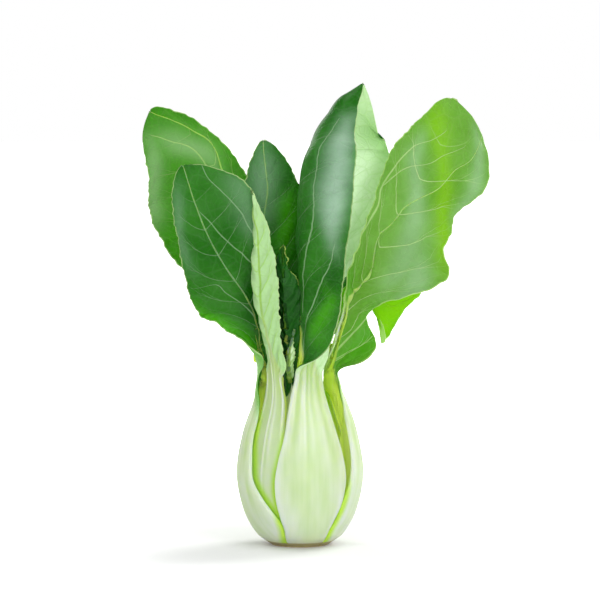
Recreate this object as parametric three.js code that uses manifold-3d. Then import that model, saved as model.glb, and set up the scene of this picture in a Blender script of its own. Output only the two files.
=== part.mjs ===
// A head of pak choi: a short cut stem and the leaves that grow from it, standing on its cut face.
// Millimetres, +Z up, origin at the centre of the cut face. -Y is the front and +X its right-hand side.
// An azimuth turns round +Z: 0 is +X, -90 the front, 90 the back, 180 the left. Angles are in degrees.
//
// A leaf is one sheet. Its length runs from 0 at the foot over 1 at the neck, where the fleshy stalk
// turns into the blade, to 2 at the tip. Its sides run from -1 at the left margin over the midrib at 0
// to 1 at the right margin, as seen from outside the head.
import * as THREE from "three";
import Module from "manifold-3d";

const wasm = await Module();
wasm.setup();
const { Manifold, Mesh } = wasm;

// ---- The head as a whole ----
const GAP = 0.3; // clearance left between two pieces that lie on each other
const FOOT_HEIGHT = 0.6; // where the outermost stalks start
const STEM_PROFILE = [[0, 0], [12.2, 0], [12.3, 1.3], [12.2, 3], [11.2, 5.6], [9, 9], [6.4, 12],
  [3.6, 14.5], [0, 15.5]];
const STEM_SIDES = 48;

// The bulb's radius at each height: [height, radius].
const BULB = [[0, 12], [2, 15.6], [6, 19.6], [15, 24.4], [25, 26.9], [33, 27.2], [48, 24.6], [60, 20.6],
  [70, 16.4]];
const STALK_LEVELS = [0, 0.06, 0.2, 0.42, 0.66, 0.86]; // spine points of a stalk, as shares of its height

// ---- What all leaves share, each row [place along the leaf, value] ----
// Half width of a stalk: a share of its widest up to BELLY_END, then the part left of its taper.
const BELLY_END = 0.6;
const STALK_WIDTH = [[0, 0.57], [0.12, 0.66], [0.24, 0.88], [0.36, 1], [0.48, 0.95], [0.6, 0.76],
  [0.74, 0.56], [0.88, 0.22]];
const HUG = [0.55, 0.95]; // here a stalk's rows turn from level round the bulb to square to the spine
const FREE = [0.65, 1]; // here a stalk's bend round the bulb turns into the leaf's own bend
const RIB_THICKNESS = [[0, 5.5], [0.15, 7], [0.4, 7.2], [0.7, 5.6], [1, 3.8], [1.15, 2.6], [1.5, 1.6],
  [2, 1]];
const RIB_REACH = [[0, 9], [0.4, 11.5], [0.7, 6.5], [1, 3.2], [1.3, 2], [2, 0.8]];
const SHEET_THICKNESS = [[0, 1.6], [0.4, 1.4], [1, 1], [1.2, 0.9], [2, 0.8]];
const RIM_FADE = [[0, 0.7], [0.2, 1], [0.6, 1], [0.85, 0.9], [1, 0.5], [1.1, 0.12], [1.25, 0], [2, 0]];

// ---- The leaves, outermost first ----
// layer: distance from the axis as a share of the bulb's radius. stalk: half width of the stalk at its
// widest; leftStalk and rightStalk give one side's half widths instead, [place, half width]. taper: how
// fast the stalk narrows to the neck. leftRim, rightRim: thickness of a stalk's margin where it is fleshy.
// spine: the midrib's points from the neck to the tip. left, right: [place past the neck, half width, fold
// at the midrib, further bend out to the margin]; a positive angle turns the side inward. roll: above 1,
// the bend sits nearer the midrib. turn: the whole leaf's turn about its spine. round: where the outline
// starts to close, and how sharply. leftWaves, rightWaves: height, count and phase of a margin's ripples.
const LEAVES = [
  {
    name: "front_leaf", azimuth: -80.5, layer: 1.015, stalk: 17.2, roll: 1.6, round: [0.7, 0.75],
    leftStalk: [[0, 9], [0.13, 10.6], [0.2, 12.8], [0.31, 15.5], [0.42, 16.1], [0.53, 14.3],
      [0.635, 11.6], [0.75, 9.4], [0.86, 7.3]],
    rightStalk: [[0, 8.3], [0.13, 10.7], [0.2, 13.2], [0.3, 17.2], [0.42, 18.9], [0.52, 17.5],
      [0.63, 14.8], [0.74, 11.8], [0.86, 8.9]],
    spine: [[3.2, -13.5, 75], [2.7, -11.5, 92], [2, -10, 112], [4.6, -8, 136], [5.8, -6.5, 157],
      [9.5, -5.5, 177], [17.5, -4.5, 191], [26.9, -3.5, 198.6]],
    left: [[0, 5.6, -12, -10], [0.03, 9, -44, -75], [0.06, 13.5, -54, -98], [0.1, 17.8, -58, -108],
      [0.18, 23, -55, -123], [0.32, 30.8, -32, -153], [0.42, 36, -14, -173], [0.58, 39.5, -10, -180],
      [0.72, 35, -22, -162], [0.84, 25.5, -46, -134], [0.92, 22, -55, -125], [1, 20, -60, -120]],
    right: [[0, 6.8, 0, 10], [0.05, 9.5, 5, 10], [0.1, 12.5, 20, 15], [0.2, 20, 50, 20],
      [0.4, 32, 40, -10], [0.6, 37, 32, -8], [0.75, 39, 25, 0], [0.88, 46, 18, 0], [1, 50, 15, 0]],
    leftWaves: [0.8, 5, 0.1], rightWaves: [0.7, 4, 0.3],
  },
  {
    name: "right_leaf", azimuth: 15, layer: 1, stalk: 18, leftRim: 8.5, round: [0.66, 0.5],
    leftStalk: [[0, 16.5], [0.05, 19], [0.1, 22.6], [0.19, 25.1], [0.3, 26.3], [0.41, 24.5],
      [0.52, 22], [0.63, 19.2], [0.74, 16.5], [0.83, 13.5], [0.92, 8.5]],
    rightStalk: [[0, 10.3], [0.12, 11.9], [0.24, 15.8], [0.36, 18], [0.48, 17], [0.6, 13.8],
      [0.74, 14], [0.85, 13], [0.93, 9]],
    turn: [[0, 0], [0.85, 0], [0.93, 8], [1.02, 50], [1.12, 74], [1.3, 82], [1.6, 80], [2, 70]],
    spine: [[14, 2.5, 73], [14, 0, 84], [17.5, -3, 97], [22, -4, 107], [30, -4, 121], [38, -3, 137],
      [46, -1, 150], [55, 2, 163], [62, 6, 176], [65, 10, 192]],
    left: [[0, 3.5, 0, 30], [0.03, 6, 10, 20], [0.06, 14, 10, 20], [0.1, 18, 5, 20],
      [0.15, 18, -5, 20], [0.225, 10.6, -15, 20], [0.3, 14.5, -15, 30], [0.37, 24, -10, 35],
      [0.42, 30.5, -10, 35], [0.48, 33.5, -10, 30], [0.56, 27, -5, 10], [0.63, 25.5, 0, -5],
      [0.7, 24, 0, -15], [0.76, 27.5, 0, -20], [0.82, 31.5, 0, -20], [0.88, 31, 0, -25],
      [0.94, 26, 0, -30], [1, 20, 0, -30]],
    right: [[0, 4.4, 0, 40], [0.1, 3.5, 60, 30], [0.18, 4.5, 60, 15], [0.25, 6, 50, 5],
      [0.32, 9.8, 40, 0], [0.38, 12.5, 33, -5], [0.48, 12, 22, -10], [0.6, 13, 10, -15],
      [0.7, 16.8, 5, -15], [0.8, 18.5, 0, -10], [0.9, 18, 0, -5], [1, 16, 0, 0]],
    leftWaves: [1.5, 4.5, 0.2], rightWaves: [0.8, 3, 0.3],
  },
  {
    name: "left_leaf", azimuth: 178, layer: 1, stalk: 18, taper: 1.5, rightRim: 5.5, round: [0.8, 0.5],
    rightStalk: [[0, 17.5], [0.06, 21.5], [0.13, 26], [0.2, 28], [0.32, 24.4], [0.425, 20.1],
      [0.53, 18.2], [0.64, 15.1], [0.756, 12.6], [0.873, 7.8]],
    turn: [[0, 0], [0.7, 0], [0.88, -10], [1, -45], [1.25, -75], [2, -72]],
    spine: [[-17.2, -1.5, 73], [-17.3, -3.5, 85], [-18.8, -5.5, 97], [-22.6, -7.5, 107.5],
      [-28.6, -9.5, 116.5], [-35, -12, 126.5], [-40.8, -15, 138], [-46, -18, 152], [-49.5, -20, 163.5]],
    left: [[0, 3, 0, 20], [0.12, 6, 40, 0], [0.3, 10, 20, 10], [0.45, 16, 10, 10],
      [0.6, 20.5, 10, 10], [0.72, 24, 5, 10], [0.85, 24, 0, 5], [1, 18, 0, 0]],
    right: [[0, 3.2, 0, 60], [0.05, 6.5, 0, 150], [0.09, 8.5, 0, 160], [0.13, 10.5, 0, 115],
      [0.17, 10, 0, 65], [0.2, 10.8, 0, 40], [0.26, 14.5, 0, 20], [0.35, 20.5, 0, 0],
      [0.45, 21.5, 0, -10], [0.58, 17.5, 0, -15], [0.72, 12.5, 0, -15], [0.86, 10, 0, -15],
      [1, 8, 0, -15]],
    leftWaves: [0.8, 4, 0.2], rightWaves: [0.8, 4, 0.3],
  },
  {
    name: "rear_leaf", azimuth: 96, layer: 1, stalk: 18, round: [0.68, 0.5],
    turn: [[0, 0], [1, 0], [2, -10]],
    spine: [[-2, 17, 74], [-2, 20, 88], [-1, 25, 102], [0, 32, 115], [1.5, 41, 127], [2.5, 50, 136]],
    left: [[0, 5, 0, 20], [0.15, 9, 10, 10], [0.35, 20, 10, 10], [0.65, 25, 0, -10],
      [0.85, 22, 0, -10], [1, 15, 0, 0]],
    right: [[0, 5, 0, 20], [0.15, 9, 10, 10], [0.35, 19, 10, 10], [0.65, 23, 0, -10],
      [0.85, 21, 0, -10], [1, 15, 0, 0]],
    leftWaves: [1, 4, 0.2], rightWaves: [1, 5, 0.4],
  },
  {
    name: "front_left_leaf", azimuth: -129, layer: 0.9, stalk: 13.5, round: [0.45, 0.9],
    leftStalk: [[0, 7.7], [0.12, 8.9], [0.24, 11.9], [0.36, 13.5], [0.48, 12.8], [0.6, 10.8],
      [0.74, 9.2], [0.86, 7.4], [0.95, 5.8]],
    turn: [[0, 0], [1, 0], [1.3, 15], [2, 10]],
    spine: [[-11.2, -12.5, 72], [-13.2, -14, 86], [-16, -16, 98], [-18, -18, 110], [-18.6, -19, 126],
      [-18.6, -19, 138], [-20.5, -18, 153.5]],
    left: [[0, 4.8, 0, 20], [0.12, 5.5, 5, 80], [0.3, 7.5, 5, 140], [0.45, 8.5, -5, 160],
      [0.8, 8.5, -8, 160], [1, 6, 0, 150]],
    right: [[0, 3.6, 0, 10], [0.05, 6, 5, 10], [0.09, 6.6, 5, 15], [0.14, 5.8, 0, 20],
      [0.24, 6.8, 0, 25], [0.45, 9, 0, 30], [0.7, 9, 10, 30], [1, 6, 10, 30]],
    leftWaves: [0.5, 5, 0.1], rightWaves: [0.5, 6, 0.3],
  },
  {
    name: "left_rear_leaf", azimuth: 140, layer: 0.88, stalk: 13, round: [0.92, 0.4],
    turn: [[0, 0], [0.6, 0], [1, -30], [1.3, -50], [2, -55]],
    spine: [[-12.5, 11, 73], [-15.5, 12, 90], [-19, 14, 108], [-24.5, 17, 131], [-31, 22, 150],
      [-38, 26, 164], [-46, 29, 174], [-55.5, 32, 181.5], [-65.5, 34.5, 186.5]],
    left: [[0, 3.2, 0, 20], [0.15, 8, 20, 0], [0.4, 15, 10, 0], [0.65, 10.5, 0, -10],
      [0.85, 6.5, 0, 0], [1, 3.5, 0, 0]],
    right: [[0, 3.2, 0, 20], [0.15, 9, 10, 10], [0.35, 26, 0, 10], [0.52, 34.5, 0, 0],
      [0.68, 35, 0, -10], [0.8, 30, 0, -10], [0.9, 23, 0, -10], [1, 18, 0, -10]],
    leftWaves: [0.8, 4, 0.2], rightWaves: [1, 5, 0.1],
  },
  {
    name: "right_rear_leaf", azimuth: 55, layer: 0.88, stalk: 13, taper: 1.4, round: [0.7, 0.5],
    turn: [[0, 0], [0.6, 0], [1, 15], [1.5, 30], [2, 30]],
    spine: [[4.5, 12, 73], [7.5, 13.5, 82.5], [15, 16.5, 94], [22.5, 19.5, 102.5], [29, 22.5, 106.2],
      [35.5, 25, 106.2], [42, 28, 105.8], [48, 31, 108.5], [53, 34, 115.5], [57, 37, 125],
      [59.2, 40, 135], [60, 43, 147]],
    left: [[0, 3.2, 0, 20], [0.2, 3.5, 20, 0], [0.36, 4.5, 10, 0], [0.39, 5.5, 0, 0],
      [0.405, 19, 0, 0], [0.422, 25, 0, 0], [0.47, 20.5, 0, 0], [0.505, 16.2, 0, 0],
      [0.535, 9.5, 0, 0], [0.59, 5.5, 0, 0], [0.8, 5, 0, -10], [1, 6, 0, 0]],
    right: [[0, 3.2, 0, 20], [0.15, 5, 20, 10], [0.35, 7.5, 0, 10], [0.55, 10, 0, 0],
      [0.75, 14, 0, -10], [1, 11, 0, 0]],
    leftWaves: [0.5, 4, 0.2], rightWaves: [0.8, 5, 0.4],
  },
  {
    name: "inner_front_leaf", azimuth: -104, layer: 0.62, stalk: 8.5, foot: 5,
    thickness: 0.7, round: [0.85, 0.5],
    turn: [[0, 0], [1, 10], [2, 20]],
    spine: [[-4.2, -8.5, 74], [-5.5, -11.5, 88], [-6.6, -14.5, 100], [-7, -17, 111], [-7.2, -18, 121],
      [-7, -18.5, 130]],
    left: [[0, 3, 0, 20], [0.2, 5, 30, 20], [0.5, 6, 40, 30], [0.8, 5, 40, 30], [1, 4, 40, 30]],
    right: [[0, 3, 0, 10], [0.15, 4.8, 0, 10], [0.3, 6.8, -5, 10], [0.45, 7.1, -10, 10],
      [0.53, 7.9, -10, 10], [0.62, 8, -10, 15], [0.69, 7, -5, 20], [0.75, 5.4, 0, 20],
      [0.83, 3, 0, 20], [0.92, 1.8, 0, 20], [1, 1, 0, 30]],
    leftWaves: [0.4, 4, 0.2], rightWaves: [0.5, 4, 0.4],
  },
  {
    name: "centre_rear_leaf", azimuth: 110, layer: 0.66, stalk: 9.5, foot: 5,
    thickness: 0.7, round: [0.6, 0.7],
    turn: [[0, 0], [1, -15], [2, -20]],
    spine: [[-5.5, 6.5, 74], [-8.5, 6, 90], [-12, 6, 108], [-14.6, 6.5, 124], [-15.8, 7.5, 140],
      [-16.4, 9, 155], [-15.8, 11, 173.8]],
    left: [[0, 3.2, 0, 20], [0.2, 9, 10, 10], [0.45, 17, 0, -10], [0.65, 19, -5, -20],
      [0.8, 17.5, -5, -20], [1, 12, -5, -20]],
    right: [[0, 3.2, 0, 20], [0.2, 7, 10, 10], [0.5, 9, 0, 20], [0.75, 8.5, 0, 20], [1, 6, 0, 10]],
    leftWaves: [0.5, 4, 0.2], rightWaves: [0.5, 5, 0.1],
  },
  {
    name: "heart_leaf_front", azimuth: -112, layer: 0.44, stalk: 5.5, foot: 9,
    thickness: 0.5, round: [0.5, 0.9], small: true,
    turn: [[0, 0], [1, 0], [2, -10]],
    spine: [[-4.2, -7.5, 66], [-4.8, -10.5, 75], [-4.4, -12.5, 85], [-2.5, -13.5, 94]],
    left: [[0, 2.2, 0, 20], [0.3, 3.2, 30, 40], [0.7, 3.2, 30, 60], [1, 2, 30, 60]],
    right: [[0, 2.2, 0, 20], [0.3, 2.8, 30, 60], [0.7, 2.8, 30, 60], [1, 2, 40, 60]],
    leftWaves: [0.3, 3, 0.2], rightWaves: [0.3, 3, 0.4],
  },
  {
    name: "heart_leaf_right", azimuth: 10, layer: 0.36, stalk: 5.5, foot: 11,
    thickness: 0.5, round: [0.5, 0.9], small: true,
    turn: [[0, 0], [1, 0], [2, 20]],
    spine: [[6.2, 1, 62], [7.2, 1.2, 72], [7.8, 1.4, 84], [7.2, 1.4, 96]],
    left: [[0, 2.2, 0, 30], [0.3, 4.5, 20, 60], [0.7, 4.5, 20, 60], [1, 2, 30, 60]],
    right: [[0, 2.2, 0, 30], [0.3, 4.5, 20, 60], [0.7, 4.5, 20, 60], [1, 2, 40, 60]],
  },
  {
    name: "heart_leaf_left", azimuth: 170, layer: 0.3, stalk: 5, foot: 12,
    thickness: 0.5, round: [0.5, 0.9], small: true,
    turn: [[0, 0], [1, 0], [2, 20]],
    spine: [[-4.4, 0.8, 52], [-4.4, 0.8, 60], [-4.2, 0.8, 70], [-3.6, 0.8, 80]],
    left: [[0, 2.2, 0, 30], [0.3, 4, 20, 60], [0.7, 4, 20, 60], [1, 2, 30, 60]],
    right: [[0, 2.2, 0, 30], [0.3, 4, 20, 60], [0.7, 4, 20, 60], [1, 2, 40, 60]],
  },
];

// ---- Materials ----
const LEAF_LOOK = { color: 0x6fae4a, roughness: 0.45, metalness: 0 };
const STEM_LOOK = { color: 0xb39a5c, roughness: 0.8, metalness: 0 };

// ---- Small helpers ----
const { clamp, degToRad: radians, lerp, radToDeg: degrees, smoothstep } = THREE.MathUtils;
const spread = (from, to, steps) =>
  Array.from({ length: steps + 1 }, (_, i) => from + ((to - from) * i) / steps);

// A smooth curve through rows of [place, value, ...], read at one place.
function smooth(rows, place) {
  const at = clamp(place, rows[0][0], rows.at(-1)[0]);
  const i = clamp(rows.findIndex((row) => row[0] > at) - 1, 0, rows.length - 2);
  const k = at >= rows.at(-1)[0] ? rows.length - 2 : i;
  const slope = (n, c) => {
    const a = rows[Math.max(n - 1, 0)], b = rows[Math.min(n + 1, rows.length - 1)];
    return (b[c] - a[c]) / (b[0] - a[0]);
  };
  const [p, q] = [rows[k], rows[k + 1]];
  const h = q[0] - p[0], f = (at - p[0]) / h;
  return p.slice(1).map((_, c) =>
    (2 * f ** 3 - 3 * f ** 2 + 1) * p[c + 1] + (f ** 3 - 2 * f ** 2 + f) * h * slope(k, c + 1)
    + (3 * f ** 2 - 2 * f ** 3) * q[c + 1] + (f ** 3 - f ** 2) * h * slope(k + 1, c + 1));
}

// ---- A leaf's surface ----
// Points of the midrib at the stations, spaced by true length along the stalk and along the blade.
function spineAt(leaf, stations) {
  const angle = radians(leaf.azimuth), foot = leaf.foot ?? FOOT_HEIGHT, top = leaf.spine[0][2];
  const points = STALK_LEVELS.map((level) => {
    const z = foot + level * (top - foot), r = smooth(BULB, z)[0] * leaf.layer;
    return [r * Math.cos(angle), r * Math.sin(angle), z];
  }).concat(leaf.spine);
  let run = 0;
  const rows = points.map((p, i) => {
    if (i) run += Math.hypot(...p.map((v, c) => v - points[i - 1][c]));
    return [run, ...p];
  });
  const fine = spread(0, run, 800).map((at) => smooth(rows, at));
  let length = 0;
  const measured = fine.map((p, i) => {
    if (i) length += Math.hypot(...p.map((v, c) => v - fine[i - 1][c]));
    return [length, ...p];
  });
  const neck = measured[Math.round((rows[STALK_LEVELS.length][0] / run) * 800)][0];
  return stations.map((s) => {
    const at = s < 1 ? s * neck : neck + (s - 1) * (length - neck);
    const i = clamp(measured.findIndex((row) => row[0] >= at), 1, measured.length - 1);
    const a = measured[i - 1], b = measured[i], f = clamp((at - a[0]) / (b[0] - a[0]), 0, 1);
    return new THREE.Vector3(...[1, 2, 3].map((c) => a[c] + (b[c] - a[c]) * f));
  });
}

// Rows of a stalk and a blade side as one table.
function sideRows(leaf, side) {
  const [, neck, , neckBend] = leaf[side][0];
  const belly = leaf.stalk * STALK_WIDTH.find(([p]) => p === BELLY_END)[1];
  const widths = leaf[side + "Stalk"] ?? STALK_WIDTH.map(([p, share]) =>
    [p, p <= BELLY_END ? leaf.stalk * share : neck + (belly - neck) * share ** (leaf.taper ?? 1)]);
  return [
    ...widths.map(([p, width]) => [p, width, 0, neckBend]),
    ...leaf[side].map(([p, ...rest]) => [1 + p, ...rest]),
  ];
}

const difference = (rows, i) =>
  rows[Math.min(i + 1, rows.length - 1)].clone().sub(rows[Math.max(i - 1, 0)]);

// Outward normals of a grid of points.
function gridNormals(grid) {
  return grid.map((row, i) => row.map((_, j) => {
    const along = difference(grid.map((r) => r[j]), i);
    return difference(row, j).cross(along).normalize();
  }));
}

// The outer face as a grid of points, and each point's distance from the midrib.
function leafGrid(leaf, stations, sides) {
  const line = spineAt(leaf, stations);
  const angle = radians(leaf.azimuth);
  let out = new THREE.Vector3(Math.cos(angle), Math.sin(angle), 0);
  const middle = sides.indexOf(0);
  const rows = { left: sideRows(leaf, "left"), right: sideRows(leaf, "right") };
  const [closeFrom, closeShape] = leaf.round;
  const reach = [];
  const grid = stations.map((s, i) => {
    const along = difference(line, i).normalize();
    out = out.clone().addScaledVector(along, -along.dot(out)).normalize();
    const turn = radians(leaf.turn ? smooth(leaf.turn, s)[0] : 0);
    const across = along.clone().cross(out);
    const free = out.clone().multiplyScalar(Math.cos(turn)).addScaledVector(across, Math.sin(turn));
    const away = new THREE.Vector3(line[i].x, line[i].y, 0);
    const distance = away.length(), hug = 1 - smoothstep(s, ...HUG);
    const outer = free.lerp(away.normalize(), hug).normalize();
    const side = along.clone().cross(outer).normalize();
    const closing = clamp((s - 1 - closeFrom) / (1 - closeFrom), 0, 1);
    const cap = Math.max((1 - closing ** 2) ** closeShape, 0.03);
    const points = sides.map(() => line[i].clone());
    const from = sides.map(() => 0);
    for (const [name, sign] of [["left", -1], ["right", 1]]) {
      const [half, fold, freeBend] = smooth(rows[name], s);
      const bend = lerp(degrees((half * cap) / distance), freeBend, smoothstep(s, ...FREE));
      for (let j = middle + sign; j >= 0 && j < sides.length; j += sign) {
        const q = Math.abs(sides[j]), before = Math.abs(sides[j - sign]);
        const turned = 1 - (1 - (q + before) / 2) ** (leaf.roll ?? 1);
        const tilt = radians(fold + bend * turned), step = half * cap * (q - before);
        points[j].copy(points[j - sign])
          .addScaledVector(side, sign * Math.cos(tilt) * step)
          .addScaledVector(outer, -Math.sin(tilt) * step);
        from[j] = half * cap * q;
      }
    }
    reach.push(from);
    return points;
  });
  ripple(leaf, grid, stations, sides);
  return { grid, reach };
}

// Lifts the margins of the blade into waves.
function ripple(leaf, grid, stations, sides) {
  const normals = gridNormals(grid);
  for (const [waves, sign] of [[leaf.leftWaves, -1], [leaf.rightWaves, 1]]) {
    if (!waves) continue;
    const [height, count, phase] = waves;
    stations.forEach((s, i) => {
      const b = clamp(s - 1, 0, 1);
      const lift = height * clamp(b / 0.15, 0, 1) * clamp((1.02 - b) / 0.1, 0, 1)
        * Math.sin(2 * Math.PI * (count * b + phase));
      sides.forEach((q, j) => {
        grid[i][j].addScaledVector(normals[i][j], lift * clamp(q * sign, 0, 1) ** 2.5);
      });
    });
  }
}

function thicknessAt(leaf, s, q, reach) {
  const [sheet] = smooth(SHEET_THICKNESS, s);
  const [rib] = smooth(RIB_THICKNESS, s);
  const [wide] = smooth(RIB_REACH, s);
  const flesh = sheet + (rib * (leaf.thickness ?? 1) - sheet) * Math.exp(-((reach / wide) ** 2));
  const rim = (q < 0 ? leaf.leftRim : leaf.rightRim) ?? 0;
  return Math.max(flesh, rim * smooth(RIM_FADE, s)[0] * Math.abs(q), sheet);
}

// ---- Solids ----
// A closed solid between two grids of the same size.
function solidBetween(outer, inner) {
  const rows = outer.length, columns = outer[0].length;
  const vertices = [...outer.flat(), ...inner.flat()].flatMap((p) => [p.x, p.y, p.z]);
  const id = (face, i, j) => face * rows * columns + i * columns + j;
  const triangles = [];
  const quad = (a, b, c, d) => triangles.push(a, b, c, a, c, d);
  for (let i = 0; i + 1 < rows; i++) {
    for (let j = 0; j + 1 < columns; j++) {
      quad(id(0, i, j), id(0, i, j + 1), id(0, i + 1, j + 1), id(0, i + 1, j));
      quad(id(1, i, j), id(1, i + 1, j), id(1, i + 1, j + 1), id(1, i, j + 1));
    }
    quad(id(0, i, 0), id(0, i + 1, 0), id(1, i + 1, 0), id(1, i, 0));
    quad(id(0, i + 1, columns - 1), id(0, i, columns - 1), id(1, i, columns - 1), id(1, i + 1, columns - 1));
  }
  for (let j = 0; j + 1 < columns; j++) {
    quad(id(0, 0, j + 1), id(0, 0, j), id(1, 0, j), id(1, 0, j + 1));
    quad(id(0, rows - 1, j), id(0, rows - 1, j + 1), id(1, rows - 1, j + 1), id(1, rows - 1, j));
  }
  return new Manifold(new Mesh({
    numProp: 3, vertProperties: new Float32Array(vertices), triVerts: new Uint32Array(triangles),
  }));
}

// Where the grid's lines run between the midrib and a margin, closer where a blade is rolled.
const ROLLED_SIDES = [0.1, 0.22, 0.36, 0.52, 0.68, 0.84, 1];

// A leaf, optionally grown by a clearance on every side.
function leafSolid(leaf, grow = 0) {
  const stations = leaf.small
    ? [...spread(0, 1, 7), ...spread(1, 2, 6).slice(1)]
    : [...spread(0, 1, 10), ...spread(1, 1.4, 6).slice(1), ...spread(1.4, 1.85, 5).slice(1), 1.93, 1.98, 2];
  const half = leaf.small ? [0.35, 0.7, 1] : leaf.roll ? ROLLED_SIDES : [0.16, 0.34, 0.55, 0.78, 1];
  const sides = [...half.map((q) => -q).reverse(), 0, ...half];
  const { grid, reach } = leafGrid(leaf, stations, sides);
  const normals = gridNormals(grid);
  const outer = grid.map((row, i) => row.map((p, j) => p.clone().addScaledVector(normals[i][j], grow)));
  const inner = grid.map((row, i) => row.map((p, j) =>
    p.clone().addScaledVector(normals[i][j], -grow - thicknessAt(leaf, stations[i], sides[j], reach[i][j]))));
  if (grow) {
    for (const face of [outer, inner]) {
      for (const row of face) {
        stretch(row[0], row[1], grow);
        stretch(row.at(-1), row.at(-2), grow);
      }
      face[0].forEach((p, j) => stretch(p, face[1][j], grow));
      face.at(-1).forEach((p, j) => stretch(p, face.at(-2)[j], grow));
    }
  }
  return solidBetween(outer, inner);
}

// Moves a point away from its neighbour.
const stretch = (point, neighbour, by) => point.add(point.clone().sub(neighbour).setLength(by));

function stemSolid(grow = 0) {
  const profile = STEM_PROFILE.map(([r, z]) => [r ? r + grow : 0, z ? z + grow : 0]);
  return Manifold.revolve([profile], STEM_SIDES);
}

const largest = (solid) => solid.decompose().sort((a, b) => b.volume() - a.volume())[0];

// ---- The head ----
function meshOf(name, solid, look) {
  const { numProp, vertProperties, triVerts } = solid.getMesh();
  const geometry = new THREE.BufferGeometry();
  const positions = new Float32Array((vertProperties.length / numProp) * 3);
  for (let i = 0; i < positions.length / 3; i++) {
    positions.set(vertProperties.subarray(i * numProp, i * numProp + 3), i * 3);
  }
  geometry.setAttribute("position", new THREE.BufferAttribute(positions, 3));
  geometry.setIndex(new THREE.BufferAttribute(new Uint32Array(triVerts), 1));
  geometry.computeVertexNormals();
  const mesh = new THREE.Mesh(geometry, new THREE.MeshStandardMaterial(look));
  mesh.name = name;
  return mesh;
}

const head = new THREE.Group();
head.name = "pak_choi";
head.add(meshOf("cut_stem", stemSolid(), STEM_LOOK));
// Each leaf gives way to the stem and to the leaves outside it, so that pieces touch but never overlap.
const keepClear = [stemSolid(GAP)];
for (const leaf of LEAVES) {
  const solid = keepClear.reduce((rest, other) => rest.subtract(other), leafSolid(leaf));
  head.add(meshOf(leaf.name, largest(solid).simplify(0.02), LEAF_LOOK));
  keepClear.push(leafSolid(leaf, GAP));
}

export default head;
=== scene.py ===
"""A head of pak choi: a cut stem and twelve leaves, each a sheet from fleshy stalk to veined blade.

The leaves follow the outlines of the solids and get what the solids leave out: veins, ribbed stalks,
ruffled margins and thin blades. Lengths in the tables are in millimetres, and MM turns them into metres.
A place along a leaf runs from 0 at the foot over 1 at the neck to 2 at the tip. Its sides run from -1 at
the left margin over the midrib at 0 to 1 at the right margin, as seen from outside the head. The outer
face is the leaf's underside, and the inner face, towards the heart, is its upper side.
"""
import math

import bpy
import numpy as np
from bpy.props import FloatProperty, FloatVectorProperty, PointerProperty
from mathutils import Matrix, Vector
from mathutils.bvhtree import BVHTree


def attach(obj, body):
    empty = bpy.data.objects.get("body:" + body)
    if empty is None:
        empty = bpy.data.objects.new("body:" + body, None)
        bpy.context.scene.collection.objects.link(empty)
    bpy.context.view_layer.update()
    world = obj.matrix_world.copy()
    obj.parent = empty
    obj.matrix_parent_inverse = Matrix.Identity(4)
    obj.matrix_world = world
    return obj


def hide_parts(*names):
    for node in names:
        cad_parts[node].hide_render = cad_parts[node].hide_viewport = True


bl_info = {
    "name": "Pak choi head",
    "version": (1, 0, 0),
    "blender": (4, 5, 0),
    "location": "3D View > Sidebar > Pak choi",
    "description": "Dresses a head of pak choi with veined leaves, a cut stem and a plain studio",
    "category": "Object",
}

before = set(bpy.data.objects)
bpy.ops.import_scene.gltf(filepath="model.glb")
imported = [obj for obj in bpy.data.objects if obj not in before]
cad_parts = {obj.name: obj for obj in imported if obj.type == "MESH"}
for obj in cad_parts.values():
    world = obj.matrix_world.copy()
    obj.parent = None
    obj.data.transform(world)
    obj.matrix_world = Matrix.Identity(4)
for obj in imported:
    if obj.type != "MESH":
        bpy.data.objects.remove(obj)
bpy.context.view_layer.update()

# ---- The head's outlines ----
MM = 0.001
FOOT_HEIGHT = 0.6  # of the leaves that start lowest
# Rows of [height, radius] of the bulb that the stalks make
BULB = [
    [0, 12], [2, 15.6], [6, 19.6], [15, 24.4], [25, 26.9], [33, 27.2], [48, 24.6], [60, 20.6], [70, 16.4],
]
STALK_LEVELS = [0, 0.06, 0.2, 0.42, 0.66, 0.86]  # where a stalk follows the bulb, as shares of its height
BELLY_END = 0.6  # from here a stalk's width goes over into the neck's
# Rows of [place, share of the stalk's half width]
STALK_WIDTH = [
    [0, 0.57], [0.12, 0.66], [0.24, 0.88], [0.36, 1], [0.48, 0.95], [0.6, 0.76], [0.74, 0.56],
    [0.88, 0.22],
]
HUG = (0.55, 0.95)  # here a stalk's rows turn from level round the bulb to square to the spine
FREE = (0.65, 1)  # here a stalk's bend round the bulb turns into the leaf's own bend
TIP_WIDTH = 0.03  # share of its width that a blade keeps at the tip
# Rows of [place, millimetres] for the thickness at the midrib, the reach of its flesh to each side and the
# thickness of the sheet, and rows of [place, share] for the fleshy rims of a stalk
RIB_THICKNESS = [
    [0, 5.5], [0.15, 7], [0.4, 7.2], [0.7, 5.6], [1, 3.8], [1.15, 2.6], [1.5, 1.4], [2, 0.6],
]
RIB_REACH = [[0, 9], [0.4, 11.5], [0.7, 6.5], [1, 3.2], [1.3, 2], [2, 0.8]]
SHEET_THICKNESS = [[0, 1.6], [0.4, 1.3], [1, 0.9], [1.2, 0.55], [2, 0.42]]
RIM_FADE = [[0, 0.7], [0.2, 1], [0.55, 1], [0.7, 0.6], [0.82, 0.2], [0.92, 0.06], [1.05, 0], [2, 0]]

# Half width of the pale rib along a leaf. On a stalk it takes in the whole width.
RIB_WIDTH = [
    [0, 60], [0.72, 40], [0.86, 15], [0.95, 8], [1.05, 3.4], [1.2, 1.7], [1.5, 0.75], [1.8, 0.4],
    [2, 0.2],
]
STRAIGHT = [[0, 0], [2, 0]]  # the path of a rib that runs along the midrib

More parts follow.
